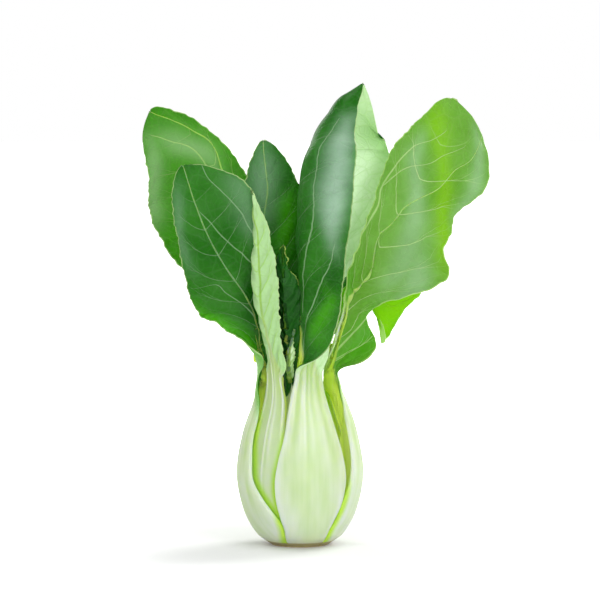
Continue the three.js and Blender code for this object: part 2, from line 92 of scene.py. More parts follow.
# The outlines are those of the solids, but for the front leaf's right margin, the centre rear leaf's tip,
# and RIM_FADE, which thins the stalks' rims sooner. What a leaf's entries say:
# name, tone: the solid that it replaces, and its colours. small: a leaf with a coarser grid.
# azimuth, layer, foot: the direction that it grows in, the share of the bulb's radius that it stands at,
#   and the height of its foot.
# stalk, taper: its stalk's half width, and how sharply that goes over into the neck's.
# thickness, left_rim, right_rim: share of RIB_THICKNESS, and thickness of the stalk's margins.
# spine, turn: points of the midrib above the stalk, and degrees that the leaf turns round it, by place.
# left_stalk, right_stalk: rows of [place, half width].
# left, right: rows of [share of the blade, half width, fold at the midrib, bend], with angles in degrees.
# roll, left_curl, right_curl: how early the bend comes, and degrees that a margin rolls in.
# round: where the blade starts to close towards its tip, and how sharply.
# left_waves, right_waves, ruffles: height, count and phase of the waves, height and count of the ruffles.
# strands, lines: count of the ribs up its stalk, and how clearly its lateral veins show.
# The rest are courses, with rows of [place, millimetres right of the midrib, half width]:
# rib_path, rib_width: where the pale rib runs, and its half width alone.
# long_veins: the strong side veins.
# The bands of painted light: painted sheen, a paler bluish green with a stronger coat that stands in for
# highlights; painted glow, a yellower green for light shining through; painted shade, a darker green. A
# band's share weakens it.
LEAVES = [{
    "name": "front_leaf", "tone": "deep", "azimuth": -80.5, "layer": 1.015, "stalk": 17.2, "roll": 1.6,
    "round": [0.7, 0.75], "left_waves": [0.8, 5, 0.1], "right_waves": [0.3, 3, 0.3], "right_curl": 0,
    "ruffles": [0.3, 9], "strands": 8, "lines": 0.3,
    "left_stalk": [
        [0, 9], [0.13, 10.6], [0.2, 12.8], [0.31, 15.5], [0.42, 16.1], [0.53, 14.3], [0.635, 11.6],
        [0.75, 9.4], [0.86, 7.3],
    ],
    "right_stalk": [
        [0, 8.3], [0.13, 10.7], [0.2, 13.2], [0.3, 17.2], [0.42, 18.9], [0.52, 17.5], [0.63, 14.8],
        [0.74, 11.8], [0.86, 8.9],
    ],
    "spine": [
        [3.2, -13.5, 75], [2.7, -11.5, 92], [2, -10, 112], [4.6, -8, 136], [5.8, -6.5, 157],
        [9.5, -5.5, 177], [17.5, -4.5, 191], [26.9, -3.5, 198.6],
    ],
    "left": [
        [0, 5.6, -12, -10], [0.03, 9, -44, -75], [0.06, 13.5, -54, -98], [0.1, 17.8, -58, -108],
        [0.18, 23, -55, -123], [0.32, 30.8, -32, -153], [0.42, 36, -14, -173], [0.58, 39.5, -10, -180],
        [0.72, 35, -22, -162], [0.84, 25.5, -46, -134], [0.92, 22, -55, -125], [1, 20, -60, -120],
    ],
    "right": [
        [0, 6.8, 0, 10], [0.05, 9.5, 5, 10], [0.1, 12.5, 20, 15], [0.2, 20, 50, 20], [0.4, 32, 40, -10],
        [0.6, 37, 32, -8], [0.75, 38, 25, 0], [0.84, 41, 20, 0], [0.9, 44, 18, 0], [0.95, 54, 16, 0],
        [1, 60, 15, 0],
    ],
    "long_veins": [
        [[1.05, -2.5, 0.55], [1.12, -4.5, 0.45], [1.17, -7.6, 0.4], [1.22, -13, 0.35],
         [1.31, -21.5, 0.3], [1.37, -27.5, 0.25], [1.43, -31, 0.2]],
        [[1.2, -7.3, 0.35], [1.31, -12, 0.4], [1.35, -15, 0.4], [1.43, -19.7, 0.4], [1.49, -22.5, 0.35],
         [1.56, -23, 0.3], [1.7, -20, 0.25], [1.85, -12, 0.2]],
    ],
    "painted_sheen": [
        [[1.44, -30, 3.5], [1.52, -30.5, 5], [1.6, -31, 6.5], [1.7, -29, 6], [1.8, -21, 5],
         [1.86, -15, 4]],
        [[1.1, 14, 12], [1.3, 25, 16], [1.6, 25, 20], [1.76, 25, 18]],
    ],
    "painted_shade": [
        [[1.22, -17, 6], [1.33, -26, 5], [1.38, -30, 4]],
        [[1.82, 24, 12], [2, 20, 14]],
        [[1.3, -6, 5], [1.4, -11, 5], [1.5, -14, 5]],
    ],
    "painted_glow": [[[1.14, -12, 5], [1.24, -22, 3]], [[1.74, -35, 3], [1.86, -25, 3]]],
}, {
    "name": "right_leaf", "tone": "fresh", "azimuth": 15, "layer": 1, "stalk": 18, "left_rim": 8.5,
    "round": [0.66, 0.5], "left_waves": [1.5, 4.5, 0.2], "right_waves": [0.8, 3, 0.3], "lines": 0.75,
    "painted_sheen_share": 0.7,
    "left_stalk": [
        [0, 16.5], [0.05, 19], [0.1, 22.6], [0.19, 25.1], [0.3, 26.3], [0.41, 24.5], [0.52, 22],
        [0.63, 19.2], [0.74, 16.5], [0.83, 13.5], [0.92, 8.5],
    ],
    "right_stalk": [
        [0, 10.3], [0.12, 11.9], [0.24, 15.8], [0.36, 18], [0.48, 17], [0.6, 13.8], [0.74, 14],
        [0.85, 13], [0.93, 9],
    ],
    "turn": [[0, 0], [0.85, 0], [0.93, 8], [1.02, 50], [1.12, 74], [1.3, 82], [1.6, 80], [2, 70]],
    "spine": [
        [14, 2.5, 73], [14, 0, 84], [17.5, -3, 97], [22, -4, 107], [30, -4, 121], [38, -3, 137],
        [46, -1, 150], [55, 2, 163], [62, 6, 176], [65, 10, 192],
    ],
    "left": [
        [0, 3.5, 0, 30], [0.03, 6, 10, 20], [0.06, 14, 10, 20], [0.1, 18, 5, 20], [0.15, 18, -5, 20],
        [0.225, 10.6, -15, 20], [0.3, 14.5, -15, 30], [0.37, 24, -10, 35], [0.42, 30.5, -10, 35],
        [0.48, 33.5, -10, 30], [0.56, 27, -5, 10], [0.63, 25.5, 0, -5], [0.7, 24, 0, -15],
        [0.76, 27.5, 0, -20], [0.82, 31.5, 0, -20], [0.88, 31, 0, -25], [0.94, 26, 0, -30],
        [1, 20, 0, -30],
    ],
    "right": [
        [0, 4.4, 0, 40], [0.1, 3.5, 60, 30], [0.18, 4.5, 60, 15], [0.25, 6, 50, 5], [0.32, 9.8, 40, 0],
        [0.38, 12.5, 33, -5], [0.48, 12, 22, -10], [0.6, 13, 10, -15], [0.7, 16.8, 5, -15],
        [0.8, 18.5, 0, -10], [0.9, 18, 0, -5], [1, 16, 0, 0],
    ],
    "rib_path": [
        [0, 0], [0.76, 0], [0.88, 2], [0.95, 2], [1, 1.2], [1.06, 1.2], [1.11, 2.2], [1.16, 2.8],
        [1.23, 4.2], [1.26, 4.3], [1.29, 3], [1.32, 0.5], [1.36, -1.4], [1.42, 2.6], [1.47, 4],
        [1.56, -0.5], [1.61, -1.2], [1.72, -9], [1.8, -11], [1.85, -15.5], [2, -22],
    ],
    "rib_width": [
        [0, 60], [0.72, 40], [0.86, 15], [0.95, 7], [1.02, 2.8], [1.1, 1.8], [1.2, 1.4], [1.34, 0.8],
        [1.4, 0.4], [1.6, 0.28], [1.8, 0.18], [2, 0.1],
    ],
    "long_veins": [
        [[1.05, -0.5, 0.7], [1.08, -1.7, 0.6], [1.12, -4.5, 0.5], [1.17, -8, 0.4], [1.22, -10.5, 0.3],
         [1.27, -12, 0.2]],
        [[1.02, -0.4, 0.5], [1.05, -1.6, 0.4], [1.085, -6.2, 0.3], [1.13, -13, 0.25], [1.17, -16, 0.2]],
        [[1.33, 11.2, 0.4], [1.37, 12.3, 0.5], [1.47, 12, 0.5], [1.52, 10, 0.45], [1.565, 9.9, 0.4],
         [1.615, 11.9, 0.35], [1.72, 11.8, 0.3], [1.79, 9.7, 0.25], [1.84, 4.4, 0.2], [1.89, 0, 0.15]],
        [[1.62, 11.8, 0.25], [1.67, 9.9, 0.25], [1.72, 6.9, 0.25], [1.77, 0, 0.2], [1.82, -3.8, 0.2],
         [1.87, -10.5, 0.15]],
    ],
    "painted_sheen": [
        [[1.36, -12, 5], [1.45, -14, 7], [1.56, -10, 6], [1.65, -4, 5.5], [1.74, 6, 4.5], [1.82, 9, 3]],
        [[1.7, -25, 4], [1.78, -23.5, 4], [1.86, -19.5, 4], [1.93, -14, 3]],
        [[1.22, -24, 6], [1.32, -24, 7], [1.42, -22, 7], [1.52, -17, 6]],
    ],
    "painted_shade": [
        [[1.02, -3, 6], [1.1, -12, 10], [1.17, -15, 10], [1.27, -14, 7]],
        [[1.04, 2, 4], [1.12, 6, 5], [1.22, 8, 5], [1.34, 9, 4]],
    ],
    "painted_glow": [
        [[1.48, -31, 5], [1.58, -25, 5], [1.66, -18, 5], [1.73, -12, 5], [1.8, -4, 5], [1.88, 3, 6],
         [1.97, 6, 6]],
    ],
}, {
    "name": "left_leaf", "tone": "deep", "azimuth": 178, "layer": 1, "stalk": 18, "taper": 1.5,
    "right_rim": 5.5, "round": [0.8, 0.5], "left_waves": [0.8, 4, 0.2], "right_waves": [0.8, 4, 0.3],
    "lines": 0.4, "painted_sheen_share": 0.25,
    "right_stalk": [
        [0, 17.5], [0.06, 21.5], [0.13, 26], [0.2, 28], [0.32, 24.4], [0.425, 20.1], [0.53, 18.2],
        [0.64, 15.1], [0.756, 12.6], [0.873, 7.8],
    ],
    "turn": [[0, 0], [0.7, 0], [0.88, -10], [1, -45], [1.25, -75], [2, -72]],
    "spine": [
        [-17.2, -1.5, 73], [-17.3, -3.5, 85], [-18.8, -5.5, 97], [-22.6, -7.5, 107.5],
        [-28.6, -9.5, 116.5], [-35, -12, 126.5], [-40.8, -15, 138], [-46, -18, 152], [-49.5, -20, 163.5],
    ],
    "left": [
        [0, 3, 0, 20], [0.12, 6, 40, 0], [0.3, 10, 20, 10], [0.45, 16, 10, 10], [0.6, 20.5, 10, 10],
        [0.72, 24, 5, 10], [0.85, 24, 0, 5], [1, 18, 0, 0],
    ],
    "right": [
        [0, 3.2, 0, 60], [0.05, 6.5, 0, 150], [0.09, 8.5, 0, 160], [0.13, 10.5, 0, 115],
        [0.17, 10, 0, 65], [0.2, 10.8, 0, 40], [0.26, 14.5, 0, 20], [0.35, 20.5, 0, 0],
        [0.45, 21.5, 0, -10], [0.58, 17.5, 0, -15], [0.72, 12.5, 0, -15], [0.86, 10, 0, -15],
        [1, 8, 0, -15],
    ],
    "rib_path": [[0, 0], [0.7, 0], [0.8, -2], [0.86, -3], [0.93, -3.5], [1, -2.5], [1.1, 0], [2, 0]],
    "rib_width": [
        [0, 60], [0.7, 40], [0.76, 15], [0.8, 11.5], [0.86, 8.5], [0.93, 5.5], [1, 2], [1.08, 0.6],
        [1.3, 0.5], [1.5, 0.45], [1.8, 0.3], [2, 0.15],
    ],
    "long_veins": [
        [[1.44, -11.5, 0.35], [1.485, -10, 0.35], [1.545, -8.6, 0.3], [1.63, -5.8, 0.3],
         [1.74, -2.8, 0.25], [1.79, -0.6, 0.2]],
        [[1.58, -18, 0.3], [1.64, -17.5, 0.3], [1.71, -17, 0.3], [1.78, -15, 0.28], [1.85, -12, 0.25],
         [1.92, -8.7, 0.22], [1.98, -7.7, 0.2]],
        [[1.27, 0.6, 0.25], [1.355, 3.9, 0.25], [1.43, 6.7, 0.2], [1.48, 8.5, 0.2], [1.52, 18, 0.15]],
    ],
    "painted_sheen": [
        [[1.55, -18, 4], [1.66, -18, 5], [1.78, -20, 6], [1.9, -19, 6]],
        [[1.6, 13, 2.5], [1.7, 12, 2.5], [1.8, 8.5, 2.5], [1.92, 5, 3]],
    ],
    "painted_glow": [
        [[1.2, 9, 5], [1.28, 16, 5], [1.36, 20, 4], [1.44, 21, 3]],
        [[0.8, 9, 6], [0.9, 7, 6], [0.98, 6, 6], [1.05, 7, 6], [1.13, 8, 7], [1.22, 11, 6]],
    ],
    "painted_shade": [[[1.2, 0, 4], [1.3, -1, 5], [1.38, -3, 5], [1.46, -8, 4]]],
}, {
    "name": "rear_leaf", "tone": "deep", "azimuth": 96, "layer": 1, "stalk": 18, "round": [0.68, 0.5],
    "left_waves": [1, 4, 0.2], "right_waves": [1, 5, 0.4],
    "turn": [[0, 0], [1, 0], [2, -10]],
    "spine": [[-2, 17, 74], [-2, 20, 88], [-1, 25, 102], [0, 32, 115], [1.5, 41, 127], [2.5, 50, 136]],
    "left": [
        [0, 5, 0, 20], [0.15, 9, 10, 10], [0.35, 20, 10, 10], [0.65, 25, 0, -10], [0.85, 22, 0, -10],
        [1, 15, 0, 0],
    ],
    "right": [
        [0, 5, 0, 20], [0.15, 9, 10, 10], [0.35, 19, 10, 10], [0.65, 23, 0, -10], [0.85, 21, 0, -10],
        [1, 15, 0, 0],
    ],
}, {
    "name": "front_left_leaf", "tone": "deep", "azimuth": -129, "layer": 0.9, "stalk": 13.5,
    "round": [0.45, 0.9], "left_waves": [0.5, 5, 0.1], "right_waves": [0.5, 6, 0.3], "strands": 4,
    "lines": 0.6, "painted_shade_share": 0.7,
    "left_stalk": [
        [0, 7.7], [0.12, 8.9], [0.24, 11.9], [0.36, 13.5], [0.48, 12.8], [0.6, 10.8], [0.74, 9.2],
        [0.86, 7.4], [0.95, 5.8],
    ],
    "turn": [[0, 0], [1, 0], [1.3, 15], [2, 10]],
    "spine": [
        [-11.2, -12.5, 72], [-13.2, -14, 86], [-16, -16, 98], [-18, -18, 110], [-18.6, -19, 126],
        [-18.6, -19, 138], [-20.5, -18, 153.5],
    ],
    "left": [
        [0, 4.8, 0, 20], [0.12, 5.5, 5, 80], [0.3, 7.5, 5, 140], [0.45, 8.5, -5, 160],
        [0.8, 8.5, -8, 160], [1, 6, 0, 150],
    ],
    "right": [
        [0, 3.6, 0, 10], [0.05, 6, 5, 10], [0.09, 6.6, 5, 15], [0.14, 5.8, 0, 20], [0.24, 6.8, 0, 25],
        [0.45, 9, 0, 30], [0.7, 9, 10, 30], [1, 6, 10, 30],
    ],
    "painted_shade": [[[0.9, 0, 40], [2, 0, 40]]],
    "rib_path": [[0, 0], [1.38, 0.4], [1.49, 1.4], [1.63, 1], [1.77, 0.5], [1.87, -0.7], [2, -0.7]],
    "rib_width": [
        [0, 60], [0.72, 40], [0.86, 20], [0.95, 10], [1.05, 4], [1.15, 1.1], [1.3, 0.6], [1.6, 0.45],
        [2, 0.2],
    ],
}, {
    "name": "left_rear_leaf", "tone": "mid", "azimuth": 140, "layer": 0.88, "stalk": 13,
    "round": [0.92, 0.4], "left_waves": [0.8, 4, 0.2], "right_waves": [1, 5, 0.1], "lines": 0.5,
    "painted_sheen_share": 0.65,
    "turn": [[0, 0], [0.6, 0], [1, -30], [1.3, -50], [2, -55]],
    "spine": [
        [-12.5, 11, 73], [-15.5, 12, 90], [-19, 14, 108], [-24.5, 17, 131], [-31, 22, 150],
        [-38, 26, 164], [-46, 29, 174], [-55.5, 32, 181.5], [-65.5, 34.5, 186.5],
    ],
    "left": [
        [0, 3.2, 0, 20], [0.15, 8, 20, 0], [0.4, 15, 10, 0], [0.65, 10.5, 0, -10], [0.85, 6.5, 0, 0],
        [1, 3.5, 0, 0],
    ],
    "right": [
        [0, 3.2, 0, 20], [0.15, 9, 10, 10], [0.35, 26, 0, 10], [0.52, 34.5, 0, 0], [0.68, 35, 0, -10],
        [0.8, 30, 0, -10], [0.9, 23, 0, -10], [1, 18, 0, -10],
    ],
    "rib_path": [[0, 0], [1.55, 0], [1.69, -2], [1.76, -4], [1.88, -1], [1.97, 0.7], [2, 0.7]],
    "rib_width": [
        [0, 60], [0.72, 40], [0.86, 12], [0.95, 6], [1.2, 1.2], [1.5, 0.5], [1.75, 0.3], [2, 0.15],
    ],
    "long_veins": [[[1.7, 3.2, 0.35], [1.8, 3.6, 0.35], [1.885, 7.9, 0.3], [1.96, 9.9, 0.2]]],
    "painted_sheen": [
        [[1.68, 0, 3], [1.76, 1, 5], [1.84, 6, 6], [1.92, 8, 6]],
        [[1.6, 34, 4], [1.72, 32, 5], [1.8, 27, 6], [1.9, 18, 6], [1.96, 12, 5]],
    ],
    "painted_shade": [[[1.35, 12, 8], [1.5, 15, 10], [1.6, 14, 8]]],
    "painted_glow": [[[1.36, 22, 10], [1.5, 28, 8], [1.62, 31, 5]]],
}, {
    "name": "right_rear_leaf", "tone": "sunlit", "azimuth": 55, "layer": 0.88, "stalk": 13, "taper": 1.4,
    "round": [0.7, 0.5], "left_waves": [0.5, 4, 0.2], "right_waves": [0.8, 5, 0.4], "lines": 0.45,
    "turn": [[0, 0], [0.6, 0], [1, 15], [1.5, 30], [2, 30]],
    "spine": [
        [4.5, 12, 73], [7.5, 13.5, 82.5], [15, 16.5, 94], [22.5, 19.5, 102.5], [29, 22.5, 106.2],
        [35.5, 25, 106.2], [42, 28, 105.8], [48, 31, 108.5], [53, 34, 115.5], [57, 37, 125],
        [59.2, 40, 135], [60, 43, 147],
    ],
    "left": [
        [0, 3.2, 0, 20], [0.2, 3.5, 20, 0], [0.36, 4.5, 10, 0], [0.39, 5.5, 0, 0], [0.405, 19, 0, 0],
        [0.422, 25, 0, 0], [0.47, 20.5, 0, 0], [0.505, 16.2, 0, 0], [0.535, 9.5, 0, 0],
        [0.59, 5.5, 0, 0], [0.8, 5, 0, -10], [1, 6, 0, 0],
    ],
    "right": [
        [0, 3.2, 0, 20], [0.15, 5, 20, 10], [0.35, 7.5, 0, 10], [0.55, 10, 0, 0], [0.75, 14, 0, -10],
        [1, 11, 0, 0],
    ],
    "painted_glow": [[[1.38, -14, 12], [1.46, -11, 12], [1.54, -5, 8], [1.62, -3, 6], [1.8, 0, 6]]],
}, {
    "name": "inner_front_leaf", "tone": "shade", "azimuth": -104, "layer": 0.62, "stalk": 8.5, "foot": 5,
    "thickness": 0.7, "round": [0.85, 0.5], "left_waves": [0.4, 4, 0.2], "right_waves": [0.5, 4, 0.4],
    "lines": 0.2,
    "turn": [[0, 0], [1, 10], [2, 20]],
    "spine": [
        [-4.2, -8.5, 74], [-5.5, -11.5, 88], [-6.6, -14.5, 100], [-7, -17, 111], [-7.2, -18, 121],
        [-7, -18.5, 130],
    ],
    "left": [[0, 3, 0, 20], [0.2, 5, 30, 20], [0.5, 6, 40, 30], [0.8, 5, 40, 30], [1, 4, 40, 30]],
    "right": [
        [0, 3, 0, 10], [0.15, 4.8, 0, 10], [0.3, 6.8, -5, 10], [0.45, 7.1, -10, 10],
        [0.53, 7.9, -10, 10], [0.62, 8, -10, 15], [0.69, 7, -5, 20], [0.75, 5.4, 0, 20],
        [0.83, 3, 0, 20], [0.92, 1.8, 0, 20], [1, 1, 0, 30],
    ],
    "rib_width": [[0, 60], [0.72, 30], [0.86, 4], [0.92, 0.6], [0.98, 0.05], [2, 0.05]],
    "painted_shade": [[[1.1, -4, 4], [1.5, -4, 4], [1.8, -3, 3]]],
}, {
    "name": "centre_rear_leaf", "tone": "deep", "azimuth": 110, "layer": 0.66, "stalk": 9.5, "foot": 5,
    "thickness": 0.7, "round": [0.72, 0.45], "left_waves": [0.5, 4, 0.2], "right_waves": [0.5, 5, 0.1],
    "lines": 0.4, "painted_sheen_share": 0.45,
    "turn": [[0, 0], [1, -15], [2, -20]],
    "spine": [
        [-5.5, 6.5, 74], [-8.5, 6, 90], [-12, 6, 108], [-14.6, 6.5, 124], [-15.8, 7.5, 140],
        [-16.4, 9, 155], [-15.8, 11, 173.8],
    ],
    "left": [
        [0, 3.2, 0, 20], [0.2, 9, 10, 10], [0.45, 17, 0, -10], [0.65, 19, -5, -20], [0.8, 17.5, -5, -20],
        [1, 12, -5, -20],
    ],
    "right": [[0, 3.2, 0, 20], [0.2, 7, 10, 10], [0.5, 9, 0, 20], [0.75, 8.5, 0, 20], [1, 6, 0, 10]],
    "rib_path": [[0, 0], [1.6, 0], [1.68, -0.5], [1.79, -2.3], [1.87, -1.5], [1.96, -0.2], [2, 0]],
    "rib_width": [[0, 60], [0.72, 40], [0.86, 12], [0.95, 5], [1.2, 1], [1.6, 0.38], [2, 0.18]],
    "painted_sheen": [[[1.66, 1, 6], [1.78, 0, 7], [1.9, -1, 6], [1.96, 0, 4]]],
    "painted_shade": [[[1.05, 0, 10], [1.3, -2, 10], [1.45, -3, 8]]],
    "painted_glow": [[[1.5, -7, 4], [1.6, -9, 4], [1.75, -11, 4]]],
}, {
    "name": "heart_leaf_front", "tone": "deep", "azimuth": -112, "layer": 0.44, "stalk": 5.5, "foot": 9,
    "thickness": 0.5, "round": [0.5, 0.9], "small": True, "left_waves": [0.3, 3, 0.2],
    "right_waves": [0.3, 3, 0.4],
    "turn": [[0, 0], [1, 0], [2, -10]],
    "spine": [[-4.2, -7.5, 66], [-4.8, -10.5, 75], [-4.4, -12.5, 85], [-2.5, -13.5, 94]],
    "left": [[0, 2.2, 0, 20], [0.3, 3.2, 30, 40], [0.7, 3.2, 30, 60], [1, 2, 30, 60]],
    "right": [[0, 2.2, 0, 20], [0.3, 2.8, 30, 60], [0.7, 2.8, 30, 60], [1, 2, 40, 60]],
}, {
    "name": "heart_leaf_right", "tone": "deep", "azimuth": 10, "layer": 0.36, "stalk": 5.5, "foot": 11,
    "thickness": 0.5, "round": [0.5, 0.9], "small": True,
    "turn": [[0, 0], [1, 0], [2, 20]],
    "spine": [[6.2, 1, 62], [7.2, 1.2, 72], [7.8, 1.4, 84], [7.2, 1.4, 96]],
    "left": [[0, 2.2, 0, 30], [0.3, 4.5, 20, 60], [0.7, 4.5, 20, 60], [1, 2, 30, 60]],
    "right": [[0, 2.2, 0, 30], [0.3, 4.5, 20, 60], [0.7, 4.5, 20, 60], [1, 2, 40, 60]],
}, {
    "name": "heart_leaf_left", "tone": "deep", "azimuth": 170, "layer": 0.3, "stalk": 5, "foot": 12,
    "thickness": 0.5, "round": [0.5, 0.9], "small": True,
    "turn": [[0, 0], [1, 0], [2, 20]],
    "spine": [[-4.4, 0.8, 52], [-4.4, 0.8, 60], [-4.2, 0.8, 70], [-3.6, 0.8, 80]],
    "left": [[0, 2.2, 0, 30], [0.3, 4, 20, 60], [0.7, 4, 20, 60], [1, 2, 30, 60]],
    "right": [[0, 2.2, 0, 30], [0.3, 4, 20, 60], [0.7, 4, 20, 60], [1, 2, 40, 60]],
}]
OUTER, INNER, HEART = LEAVES[:4], LEAVES[4:9], LEAVES[9:]

# ---- Detail that the solids leave out ----
GRID = (60, 150, 40)  # steps along a leaf's stalk, along its blade, and from its midrib to a margin
SMALL_GRID = (24, 40, 14)  # the same for a leaf of the heart
TIP_CROWDING = 1.3  # above 1, the steps get shorter towards the tip
SIDE_CROWDING = 0.09  # above 0, the steps get shorter at the midrib and the margins
TEETH_HEIGHT, TEETH_COUNT = 0.35, 24  # along a blade's margin
TEETH_WAVES = [(0.5, 1), (0.3, 1.73), (0.6, 0.31)]  # share of that height and of that count
RUFFLES = (0.5, 11)
MARGIN_CURL = 14  # unless a leaf says otherwise, as for ruffles, strands and lines
MARGIN_RADIUS = 1.2  # of the rounding of a margin
SWELL_WAVES = [(0.21, 0.13), (-0.15, 0.24), (0.34, -0.2), (0.1, 0.41)]  # radians a millimetre
STRANDS = 6
STRAND_SEED = 2000
STRAND_SPAN = 0.86  # share of a stalk's half width that the ribs spread over
LINES = 0.5
VEINS = [  # starts at the midrib and ends at the margin of the lateral veins, as shares of the blade
    [0.03, 0.2], [0.12, 0.32], [0.22, 0.44], [0.33, 0.55], [0.45, 0.66], [0.58, 0.76], [0.71, 0.86],
    [0.84, 0.96], [0.95, 1.05],
]
VEIN_SWEEP = 1.35  # how much a lateral vein curves towards the tip
VEIN_FORKS = [(0.4, 0.95, -0.46), (0.6, 1.0, 0.3)]  # start, end and final distance of its two branches
VEIN_RIDGE = 1.3  # half width of the ridge that it makes
VEIN_FLESH = 0.6  # share of that ridge's height by which the sheet is thicker
LONG_VEINS = 4  # at most this many on a leaf
LONG_VEIN_FADE = 0.012  # part of the leaf's length over which a long vein thins out at its ends
BAND_FADE = 0.1  # the same for a band
FAR = 99.0  # in place of a distance where there is nothing near
# The seam's colour is painted glow: a yellow-green that stands in for light bounced and shone through in
# the crevice.
PAINTED_SEAM_GLOW_WIDTH = (0.0008, 0.0038)  # metres from a leaf that lies over another to where its seam's colour ends
MAP_SCALE = 10  # units of the leaf's map to a metre
# Rows of [height, radius] of the stem, and rows of [inset, depth] of the rings in its cut
STEM = [[0, 12.2], [1.3, 12.3], [3, 12.2], [5.6, 11.2], [9, 9], [12, 6.4], [14.5, 3.6], [15.4, 1]]
STEM_RINGS = [[0.9, 0], [2.2, 0.25], [2.6, 0.25], [2.4, 0.2], [1.6, 0.1]]

# ---- Finishes ----
# Colours in 0 to 255. upper is a leaf's inner face, under its outer face, margin its cut edge.
# The seam colours are painted light: a glowing yellow-green where another leaf lies close over a stalk.
STALK = {
    "under": {"Ridge": (234, 240, 228), "Groove": (190, 216, 142), "Neck": (186, 214, 130),
              "Foot": (230, 230, 210), "Seam": (186, 236, 14), "Cut": (176, 160, 112)},
    # The inner face's colours are partly its own paler green and partly painted light, raised to stand in
    # for light shining through the stalk.
    "upper": {"Ridge": (252, 255, 186), "Groove": (240, 254, 126), "Neck": (234, 252, 84),
              "Foot": (236, 244, 150), "Seam": (214, 246, 90), "Cut": (176, 160, 112)},
    "margin": {"Ridge": (240, 250, 214), "Groove": (214, 240, 140), "Neck": (196, 236, 90),
               "Foot": (230, 228, 190), "Seam": (168, 224, 6), "Cut": (168, 150, 104)},
}
# A blade's tissue goes from deep to fresh. Over it lie the bands of painted shade, glow and sheen, then
# the veins, and rim is its margin.
# through is the light that shines through it.
PALE_UNDER = {"painted_glow": (84, 170, 6), "painted_shade": (120, 176, 84), "vein": (160, 210, 96)}
FRESH_UNDER = {
    "deep": (160, 206, 112), "fresh": (188, 224, 142), "painted_sheen": (216, 236, 196),
    "painted_glow": (150, 210, 50), "painted_shade": (110, 180, 50), "vein": (136, 196, 70),
}
SHADED = {"painted_sheen": (60, 120, 60), "painted_glow": (60, 150, 10), "painted_shade": (2, 26, 2)}
TONES = {
    "deep": {
        "under": {
            "deep": (200, 234, 176), "fresh": (220, 246, 200), "painted_sheen": (244, 255, 238), **PALE_UNDER,
        },
        "upper": {"deep": (28, 92, 10), "fresh": (48, 112, 26), "painted_sheen": (184, 212, 192),
                  "painted_glow": (80, 180, 0), "painted_shade": (6, 70, 0), "vein": (156, 194, 146)},
        "through": {"under": (200, 236, 160), "upper": (64, 176, 0)},
        "rim": (196, 222, 150),
    },
    "mid": {
        "under": {
            "deep": (184, 226, 154), "fresh": (206, 240, 182), "painted_sheen": (236, 252, 226), **PALE_UNDER,
        },
        "upper": {"deep": (58, 130, 14), "fresh": (80, 148, 36), "painted_sheen": (168, 200, 148),
                  "painted_glow": (60, 148, 0), "painted_shade": (40, 120, 0), "vein": (180, 216, 130)},
        "through": {"under": (160, 220, 90), "upper": (84, 184, 0)},
        "rim": (200, 226, 150),
    },
    "fresh": {
        "under": FRESH_UNDER,
        "upper": {"deep": (100, 152, 44), "fresh": (120, 170, 70), "painted_sheen": (170, 200, 164),
                  "painted_glow": (136, 194, 0), "painted_shade": (70, 164, 0), "vein": (206, 234, 158)},
        "through": {"under": (150, 220, 70), "upper": (130, 208, 10)},
        "rim": (200, 228, 140),
    },
    # sunlit: a brighter, yellower copy of the fresh colours, painted light for a leaf that light shines
    # through.
    "sunlit": {
        "under": FRESH_UNDER,
        "upper": {"deep": (96, 182, 0), "fresh": (122, 200, 6), "painted_sheen": (124, 172, 122),
                  "painted_glow": (150, 216, 0), "painted_shade": (70, 160, 0), "vein": (170, 220, 60)},
        "through": {"under": (150, 225, 60), "upper": (160, 232, 0)},
        "rim": (200, 228, 140),
    },
    # shade: darker copies of the colours, painted shade for a leaf deep inside the head.
    "shade": {
        "under": {"deep": (6, 66, 0), "fresh": (14, 88, 2), "vein": (40, 120, 20), **SHADED},
        "upper": {"deep": (4, 56, 0), "fresh": (12, 76, 2), "vein": (60, 130, 30), **SHADED},
        "through": {"under": (12, 80, 0), "upper": (12, 80, 0)},
        "rim": (186, 216, 100),
    },
}
# The bands are painted light: painted shade, painted glow of light shining through, and painted sheen.
BANDS = {"painted_shade": 0.85, "painted_glow": 0.9, "painted_sheen": 0.8}  # and how strongly they colour a blade
# tissue: the face whose colours it has. vein_width: in millimetres. lines, net, rim: how strongly they
# show. relief: how far veins stand out. through, rib_through: shares of light that pass a blade and a rib.
FACES = {
    "under": {
        "tissue": "under", "vein_width": 0.45, "lines": 1.0, "net": 0.2, "relief": 1.0, "rim": 0.7,
        "roughness": 0.48, "coat": 0.0, "specular": 0.3, "through": 0.15, "rib_through": 0.3,
    },
    "upper": {
        "tissue": "upper", "vein_width": 0.3, "lines": 1.0, "net": 0.05, "relief": -1.0, "rim": 0.7,
        "roughness": 0.36, "coat": 0.06, "specular": 0.12, "through": 0.32, "rib_through": 0.65,
    },
    "margin": {
        "tissue": "upper", "vein_width": 0.5, "lines": 0.5, "net": 0.1, "relief": 0.0, "rim": 0.95,
        "roughness": 0.45, "coat": 0.0, "specular": 0.35, "through": 0.3, "rib_through": 0.45,
    },
}
RIM_WIDTH = 0.45  # of the pale line along a blade's margin, in millimetres
MESH_SIZE = 7.5  # of the net of fine veins, in millimetres
NET_LEVELS = [(1, 1.0, 0.1), (0.45, 0.55, 0.16)]  # share of that size, strength and width of a line
VEIN_STRENGTH = 0.6  # of the colour of a long vein
RIB_ROUGHNESS = 0.34
STEM_FIBRE, STEM_RING, STEM_BUNDLE = (206, 190, 138), (140, 112, 66), (112, 84, 46)

